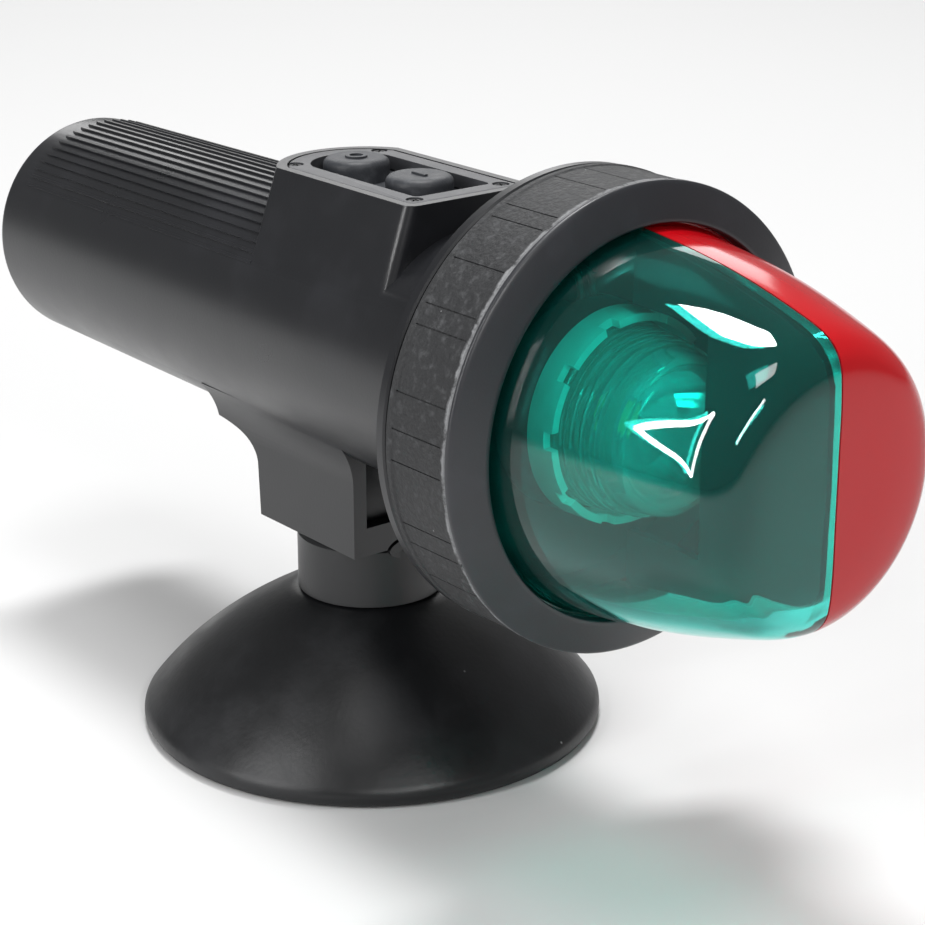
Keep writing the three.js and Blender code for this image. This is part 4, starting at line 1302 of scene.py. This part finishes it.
@dataclass
class Lens:
    """Two-colour lens: a turned shell cut in half along the lamp axis."""

    flange_back: float = field(default_factory=lambda: span("lens_green", 1)[1])
    front: float = field(default_factory=lambda: span("lens_green", 1)[0])
    flange: float = field(default_factory=lambda: span("lens_green", 2)[1])
    flange_thickness: float = 2.3
    flange_width: float = 2.3
    length: float = 39.4
    wall: float = 2.2
    seam: float = 0.15
    profile: tuple[tuple[float, float], ...] = (
        (0.0, 1.0),
        (0.29, 0.952),
        (0.54, 0.889),
        (0.78, 0.802),
        (0.9, 0.744),
        (0.96, 0.679),
        (0.99, 0.59),
        (1.0, 0.42),
        (1.0, 0.2),
        (1.0, 0.0),
    )

    def outline(self, inset: float) -> Outline:
        """Smooth outline from the root to the axis.

        Args:
            inset: distance in from the outside.

        Returns:
            The outline's points, root first.
        """
        root = self.flange - self.flange_width
        start = self.front + self.length + inset
        points = [
            (root * share - (inset if share > 0 else 0), start - self.length * t)
            for t, share in self.profile
        ]
        return [(max(r, 0.0), y) for r, y in eased(points, 6)]

    def shell(self) -> Mesh:
        """The whole clear shell before it is cut in two.

        Returns:
            A closed bmesh about the lamp's seat.
        """
        root = self.flange - self.flange_width
        flange_front = self.flange_back - self.flange_thickness
        outer = self.outline(0.0)
        inner = self.outline(self.wall)
        outer[-1] = (0.0, outer[-1][1])
        inner[-1] = (0.0, inner[-1][1])
        return turned(
            [
                *inner[::-1],
                (root - self.wall, self.flange_back),
                (self.flange - 0.3, self.flange_back),
                (self.flange, self.flange_back - 0.3),
                (self.flange, flange_front),
                (root + 0.4, flange_front),
                (root, flange_front - 0.4),
                *outer,
            ],
            FINE_ROUND,
        )

    def half(self, side: int) -> Mesh:
        """One coloured half; side -1 is green and +1 is red."""
        return cut_off(self.shell(), (side * self.seam, 0, 0), (-side, 0, 0))

    def build(self) -> None:
        """Makes and places both halves."""
        for side, name, finish, slot in (
            (-1, "green", Finish.GREEN_LENS, Slot.GREEN),
            (1, "red", Finish.RED_LENS, Slot.RED),
        ):
            mesh, node = self.half(side), ("lens_" + name,)
            Piece(name + "_half", mesh, LAMP_SEAT, "lens", node, finish, slot, 0.0, 32.0).place()


# ------------------------------------------------------------------ lamp behind the lens


@dataclass
class LampUnit:
    """Clear cap over the light source and its castellated collar; the metallised cone is left as a CAD node.
    """

    collar_back: float = field(default_factory=lambda: span("lamp_collar", 1)[1])
    collar_front: float = field(default_factory=lambda: span("lamp_collar", 1)[0])
    cap_back: float = field(default_factory=lambda: span("lamp_cap", 1)[1])
    cap_front: float = field(default_factory=lambda: span("lamp_cap", 1)[0])
    collar_radius: float = 16.4
    collar_wall: float = 1.6
    crown_length: float = 5.2
    foot_bore: float = 9.4
    foot_thickness: float = 1.4
    screw_inset: float = 2.6
    notches: int = 10
    cap_ring: float = 14.4
    cap_dome: float = 12.0
    cap_wall: float = 1.2
    dome_length: float = 6.5
    dome_skirt: float = 2.5
    rings: int = 6

    def collar(self) -> Mesh:
        """Collar with an inward screwed foot, castellated at the front.

        Returns:
            A closed bmesh about the lamp's seat.
        """
        bore = self.collar_radius - self.collar_wall
        body = turned(
            [
                (self.foot_bore, self.collar_back),
                (self.collar_radius, self.collar_back),
                (self.collar_radius - 0.4, self.collar_front),
                (bore, self.collar_front),
                (bore, self.collar_back - self.foot_thickness),
                (self.foot_bore, self.collar_back - self.foot_thickness),
            ]
        )
        cuts = []
        for i in range(self.notches):
            notch = box_mesh(
                (-1.3, self.collar_front - 1, self.collar_radius - 3),
                (1.3, self.collar_front + 1.7, self.collar_radius + 1),
            )
            turn = Matrix.Rotation(2 * math.pi * (i + 0.5) / self.notches, 4, "Y")
            bmesh.ops.transform(notch, matrix=turn, verts=notch.verts)
            cuts.append(notch)
        for side in (-1, 1):
            hole = turned([(0, -3), (0.9, -3), (0.9, 1), (0, 1)], 24)
            place = (side * (bore - self.screw_inset), self.collar_back, 0)
            bmesh.ops.translate(hole, vec=place, verts=hole.verts)
            cuts.append(hole)
        cuts.append(
            box_mesh(
                (-3.4, self.collar_back - 1.9, self.foot_bore - 1),
                (3.4, self.collar_back + 1, self.collar_radius + 1),
            )
        )
        return carved(body, joined(cuts))

    def cap(self) -> Mesh:
        """Clear cap: stepped prism rings behind a shallow dome, open at the back.

        Returns:
            A closed bmesh about the lamp's seat.
        """
        front_of_rings = self.cap_front + self.dome_length
        step = (front_of_rings - self.cap_back) / (2 * self.rings)
        outer: Outline = []
        for i in range(self.rings):
            radius = self.cap_ring + (self.cap_dome + 1.2 - self.cap_ring) * i / (self.rings - 1)
            start = self.cap_back + step * 2 * i
            outer += [(radius, start), (radius, start + step * 0.85), (radius - 0.15, start + step)]
            outer += [(radius - 0.8, start + step), (radius - 0.8, start + 2 * step)]
        base = front_of_rings - self.dome_skirt
        rise = base - self.cap_front
        arc = [math.pi / 2 * i / 14 for i in range(15)]
        dome = [(self.cap_dome * math.cos(a), base - rise * math.sin(a)) for a in arc[:-1]]
        inner, depth = self.cap_dome - self.cap_wall, rise - self.cap_wall
        well = [(inner * math.cos(a), base - depth * math.sin(a)) for a in reversed(arc[:-1])]
        crown = [(0.0, self.cap_front), (0.0, self.cap_front + self.cap_wall)]
        return turned([*outer, *dome, *crown, *well, (inner, self.cap_back)])

    def build(self) -> None:
        """Makes and places the collar's white crown, its skirt in black as painted shade, and the cap."""
        cut = (0, self.collar_front + self.crown_length, 0)
        for name, way, finish, slot in (
            ("collar_crown", 1, Finish.WHITE, Slot.WHITE),
            # painted shade: the white collar's rear gets the black post plastic, standing for the shade that
            # falls on it inside the lamp
            ("collar_skirt_painted_shade", -1, Finish.POST, Slot.BLACK),
        ):
            mesh = cut_off(self.collar(), cut, (0, way, 0))
            Piece(name, mesh, LAMP_SEAT, "lamp", ("lamp_collar",), finish, slot, 0.12).place()
        cap, node = self.cap(), ("lamp_cap",)
        Piece("cap_moulding", cap, LAMP_SEAT, "lamp", node, Finish.CLEAR, Slot.CLEAR, 0.0, 40.0).place()


# ------------------------------------------------------------------ switch pod


class Mark(Enum):
    """Raised marks on the two switch buttons."""

    BAR = "on"
    CIRCLE = "off"


@dataclass
class SwitchPod:
    """Frame plate, its four screws and the two rubber buttons."""

    top: float = field(default_factory=lambda: span("switch_frame", 2)[1])
    thickness: float = 2.2
    wall: float = 1.5
    band: float = 3.4
    button: float = 5.5
    proud: float = 1.0
    head: float = 1.25
    head_dome: Outline = field(
        default_factory=lambda: [(1.0, 0.55), (0.8, 0.72), (0.4, 0.79), (0.0, 0.8)]
    )
    web: float = 1.2
    pod_half: float = 12.4
    pod_front: float = -28.2
    pod_end: float = 7.5

    def screws(self) -> list[Point]:
        """Places of the four frame screws in plan.

        Returns:
            Their x and y in millimetres.
        """
        inset = self.wall + self.band / 2 + 0.2
        x = self.pod_half - inset - 0.4
        front, rear = self.pod_front + inset + 0.4, self.pod_end + 0.2
        return [(-x, front), (x, front), (-x, rear), (x, rear)]

    def frame_plate(self) -> Mesh:
        """Frame with its window and four counterbored holes, its top edges softened.

        Returns:
            A closed bmesh about the lamp's seat.
        """
        body = TubeBody()
        low = self.top - self.thickness
        plate = body.pod(self.wall + 0.2, low, self.top, 0.8)
        rim = [e for e in plate.edges if all(abs(v.co.z - self.top) < 1e-4 for v in e.verts)]
        bmesh.ops.bevel(plate, geom=rim, offset=0.3, segments=2, profile=0.5, affect="EDGES", material=-1)
        window = body.pod(self.wall + self.band, low - 1, self.top + 1, 1.0)
        holes = []
        for x, y in self.screws():
            holes.append(pin((x, y), self.head + 0.15, self.top - 1, self.top + 1))
        shanks = [pin((x, y), 0.9, low - 1, self.top + 0.5) for x, y in self.screws()]
        return carved(carved(carved(plate, window), joined(holes)), joined(shanks))

    def screw(self, index: int) -> Mesh:
        """Frame screw with a cross recess in its domed head.

        The body is first turned a little, so that none of its facets lies in line with a slot's wall.

        Args:
            index: which screw, from 0.

        Returns:
            A closed bmesh about the lamp's seat.
        """
        x, y = self.screws()[index]
        seat = self.top - 0.9
        low = span(f"frame_screw_{index + 1}", 2)[0]
        dome = [(self.head * share, seat + height) for share, height in self.head_dome]
        shank = [(0.0, low), (0.7, low), (0.7, seat)]
        body = turned([*shank, (self.head, seat), *dome], 32, upright=True)
        bmesh.ops.rotate(body, matrix=Matrix.Rotation(0.1, 3, "Z"), verts=body.verts)
        slot = box_mesh((-0.75, -0.16, seat + 0.4), (0.75, 0.16, seat + 2))
        cross_slot = box_mesh((-0.15, -0.75, seat + 0.35), (0.15, 0.75, seat + 2))
        made = carved(carved(body, slot), cross_slot)
        bmesh.ops.rotate(made, matrix=Matrix.Rotation(0.5 + 0.6 * index, 3, "Z"), verts=made.verts)
        bmesh.ops.translate(made, vec=(x, y, 0), verts=made.verts)
        return made

    def key(self, mark: Mark) -> Mesh:
        """Domed rubber button, hollow over its switch, with a raised mark.

        Args:
            mark: the mark on its top.

        Returns:
            A closed bmesh about the lamp's seat.
        """
        node = "button_" + mark.value
        low, high = span(node, 2)
        y = sum(span(node, 1)) / 2
        side, inner, ceiling = self.button, self.button - self.web, high - 0.2 - self.web
        crown = bezier((side, high - 1.5), (side, high - 0.15), (side - 1.7, high - 0.12), 8)
        body = turned(
            [
                (side, low),
                *crown,
                (2.6, high - 0.2),
                (0.0, high - 0.3),
                (0.0, ceiling),
                (inner, ceiling),
                (inner, low),
            ],
            96,
            upright=True,
        )
        if mark is Mark.BAR:
            raised = box_mesh((-0.4, -1.7, high - 0.8), (0.4, 1.7, high + 0.1), 0.12)
        else:
            foot, top = high - 0.8, high + 0.1
            raised = turned([(1.15, foot), (1.15, top), (1.85, top), (1.85, foot)], 48, upright=True)
        made = carved(body, raised, "UNION")
        bmesh.ops.translate(made, vec=(0, y, 0), verts=made.verts)
        return made

    def build(self) -> None:
        """Makes and places frame, screws and buttons."""
        plate, node = self.frame_plate(), ("switch_frame",)
        Piece("frame_moulding", plate, LAMP_SEAT, "lamp", node, Finish.FRAME, Slot.BLACK, 0.0).place()
        for i in range(4):
            name, node = f"screw_{i + 1}", (f"frame_screw_{i + 1}",)
            Piece(name, self.screw(i), LAMP_SEAT, "lamp", node, Finish.SCREW, Slot.STEEL, 0.0).place()
        for mark in Mark:
            name, node, body = "key_" + mark.value, ("button_" + mark.value,), mark.value + "_key"
            Piece(name, self.key(mark), LAMP_SEAT, body, node, Finish.KEY, Slot.RUBBER, 0.0).place()


# ------------------------------------------------------------------ main


def dress_frame_nodes() -> None:
    """Gives each CAD node that still shows the finish of its record slot."""
    by_slot = {
        "black_plastic": Finish.TUBE,
        "rubber": Finish.KEY,
        "steel": Finish.STEEL,
        "nickel": Finish.NICKEL,
        "battery_can": Finish.SLEEVE,
        "circuit_board": Finish.BOARD,
        "led_phosphor": Finish.PHOSPHOR,
        "white_plastic": Finish.WHITE,
        "clear_plastic": Finish.CLEAR,
        "chrome": Finish.MIRROR,
        "green_lens": Finish.GREEN_LENS,
        "red_lens": Finish.RED_LENS,
        "wire_red": Finish.RED_WIRE,
        "wire_black": Finish.BLACK_WIRE,
    }
    for entry in frame["record"]["subparts"]:
        obj = frame["nodes"][entry["node"]]
        obj.data.materials.clear()
        obj.data.materials.append(by_slot[entry["material_slot"]].value.material())


@dataclass
class Studio:
    """Pale floor, soft lights and the camera."""

    azimuth: float = -38.59
    elevation: float = 19.46
    distance: float = 401.2
    lens: float = 93.5
    aim: Place = (7.07, -16.6, 48.4)

    def camera(self) -> None:
        """Stands the camera off the lamp and aims it."""
        a, e = math.radians(self.azimuth), math.radians(self.elevation)
        back = Vector((math.sin(a) * math.cos(e), -math.cos(a) * math.cos(e), math.sin(e)))
        target = Vector((self.aim[0], self.aim[1] + FOOT_SEAT.y, self.aim[2])) * MM
        data = bpy.data.cameras.new("camera")
        data.lens = self.lens
        camera = bpy.data.objects.new("camera", data)
        camera.location = target + back * self.distance * MM
        camera.rotation_mode = "QUATERNION"
        camera.rotation_quaternion = (-back).to_track_quat("-Z", "Y")
        data.clip_start = 0.01
        bpy.context.scene.collection.objects.link(camera)
        bpy.context.scene.camera = camera

    def floor(self) -> None:
        """A wide pale floor just under the cup's rim."""
        bm = bmesh.new()
        bmesh.ops.create_grid(bm, x_segments=1, y_segments=1, size=6.0)
        bmesh.ops.translate(bm, vec=(0, 0, -0.0002), verts=bm.verts)
        data = bpy.data.meshes.new("floor")
        bm.to_mesh(data)
        bm.free()
        obj = bpy.data.objects.new("floor", data)
        bpy.context.scene.collection.objects.link(obj)
        material = bpy.data.materials.new("paper sweep")
        material.use_nodes = True
        shader = material.node_tree.nodes["Principled BSDF"]
        shader.inputs["Base Color"].default_value = linear("d0d0d0")
        shader.inputs["Roughness"].default_value = 0.9
        data.materials.append(material)

    def softbox(
        self,
        name: str,
        azimuth: float,
        elevation: float,
        distance: float,
        sides: tuple[float, float],
        power: float,
    ) -> None:
        """A soft light aimed at the lens, placed by direction.

        Args:
            name: light's name.
            azimuth: degrees round from -Y towards +X.
            elevation: degrees above the floor.
            distance: metres from the lens.
            sides: width and height in metres.
            power: watts.
        """
        a, e = math.radians(azimuth), math.radians(elevation)
        way = Vector((math.sin(a) * math.cos(e), -math.cos(a) * math.cos(e), math.sin(e)))
        data = bpy.data.lights.new(name, "AREA")
        data.shape = "RECTANGLE"
        data.size, data.size_y = sides
        data.energy = power
        light = bpy.data.objects.new(name, data)
        light.location = Vector((0, -0.06, 0.07)) + way * distance
        light.rotation_mode = "QUATERNION"
        light.rotation_quaternion = (-way).to_track_quat("-Z", "Y")
        bpy.context.scene.collection.objects.link(light)

    def strip(self, name: str, start: Point, end: Point, width: float, power: float) -> None:
        """A thin strip light between two directions, 0.9 m from the lens.

        Args:
            name: light's name.
            start: azimuth and elevation of one end in degrees.
            end: azimuth and elevation of the other end.
            width: metres.
            power: watts.
        """
        ends = []
        for azimuth, elevation in (start, end):
            a, e = math.radians(azimuth), math.radians(elevation)
            ends.append(Vector((math.sin(a) * math.cos(e), -math.cos(a) * math.cos(e), math.sin(e))) * 0.9)
        centre = (ends[0] + ends[1]) / 2
        away = centre.normalized()
        along = ends[1] - ends[0]
        length = along.length
        along = (along - away * along.dot(away)).normalized()
        data = bpy.data.lights.new(name, "AREA")
        data.shape = "RECTANGLE"
        data.size, data.size_y = width, length
        data.energy = power
        light = bpy.data.objects.new(name, data)
        turn = Matrix((along.cross(away), along, away)).transposed()
        light.matrix_world = Matrix.Translation(centre + Vector((0, -0.09, 0.08))) @ turn.to_4x4()
        bpy.context.scene.collection.objects.link(light)

    def build(self) -> None:
        """Makes the whole studio."""
        self.camera()
        self.floor()
        world = bpy.data.worlds.new("studio")
        world.use_nodes = True
        world.node_tree.nodes["Background"].inputs["Color"].default_value = linear("ffffff")
        world.node_tree.nodes["Background"].inputs["Strength"].default_value = 0.22
        bpy.context.scene.world = world
        bpy.context.scene.view_settings.view_transform = "Standard"
        self.softbox("overhead softbox", 146.0, 71.0, 1.6, (0.42, 0.3), 22.0)
        self.softbox("fill softbox", -20.0, 74.0, 1.7, (0.5, 0.5), 7.0)
        self.softbox("rear softbox", 146.0, 24.0, 1.7, (1.3, 0.5), 6.0)
        self.strip("upper side strip", (-106.0, 21.0), (-95.0, 46.0), 0.028, 1.6)
        self.strip("lower side strip", (-106.0, 21.0), (-93.0, 5.0), 0.028, 1.3)
        self.strip("side bar", (-95.0, 46.0), (-93.0, 5.0), 0.028, 1.6)
        self.strip("front strip", (-34.0, 22.0), (-8.0, 40.0), 0.07, 2.4)


def main() -> None:
    """Builds every sub-assembly in order."""
    logging.basicConfig(level=logging.INFO, format="%(name)s: %(message)s")
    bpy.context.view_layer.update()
    dress_frame_nodes()
    Studio().build()
    for assembly in (Foot(), TubeBody(), SwitchPod(), ScrewRing(), Lens(), LampUnit()):
        assembly.build()


if __name__ == "__main__":
    main()
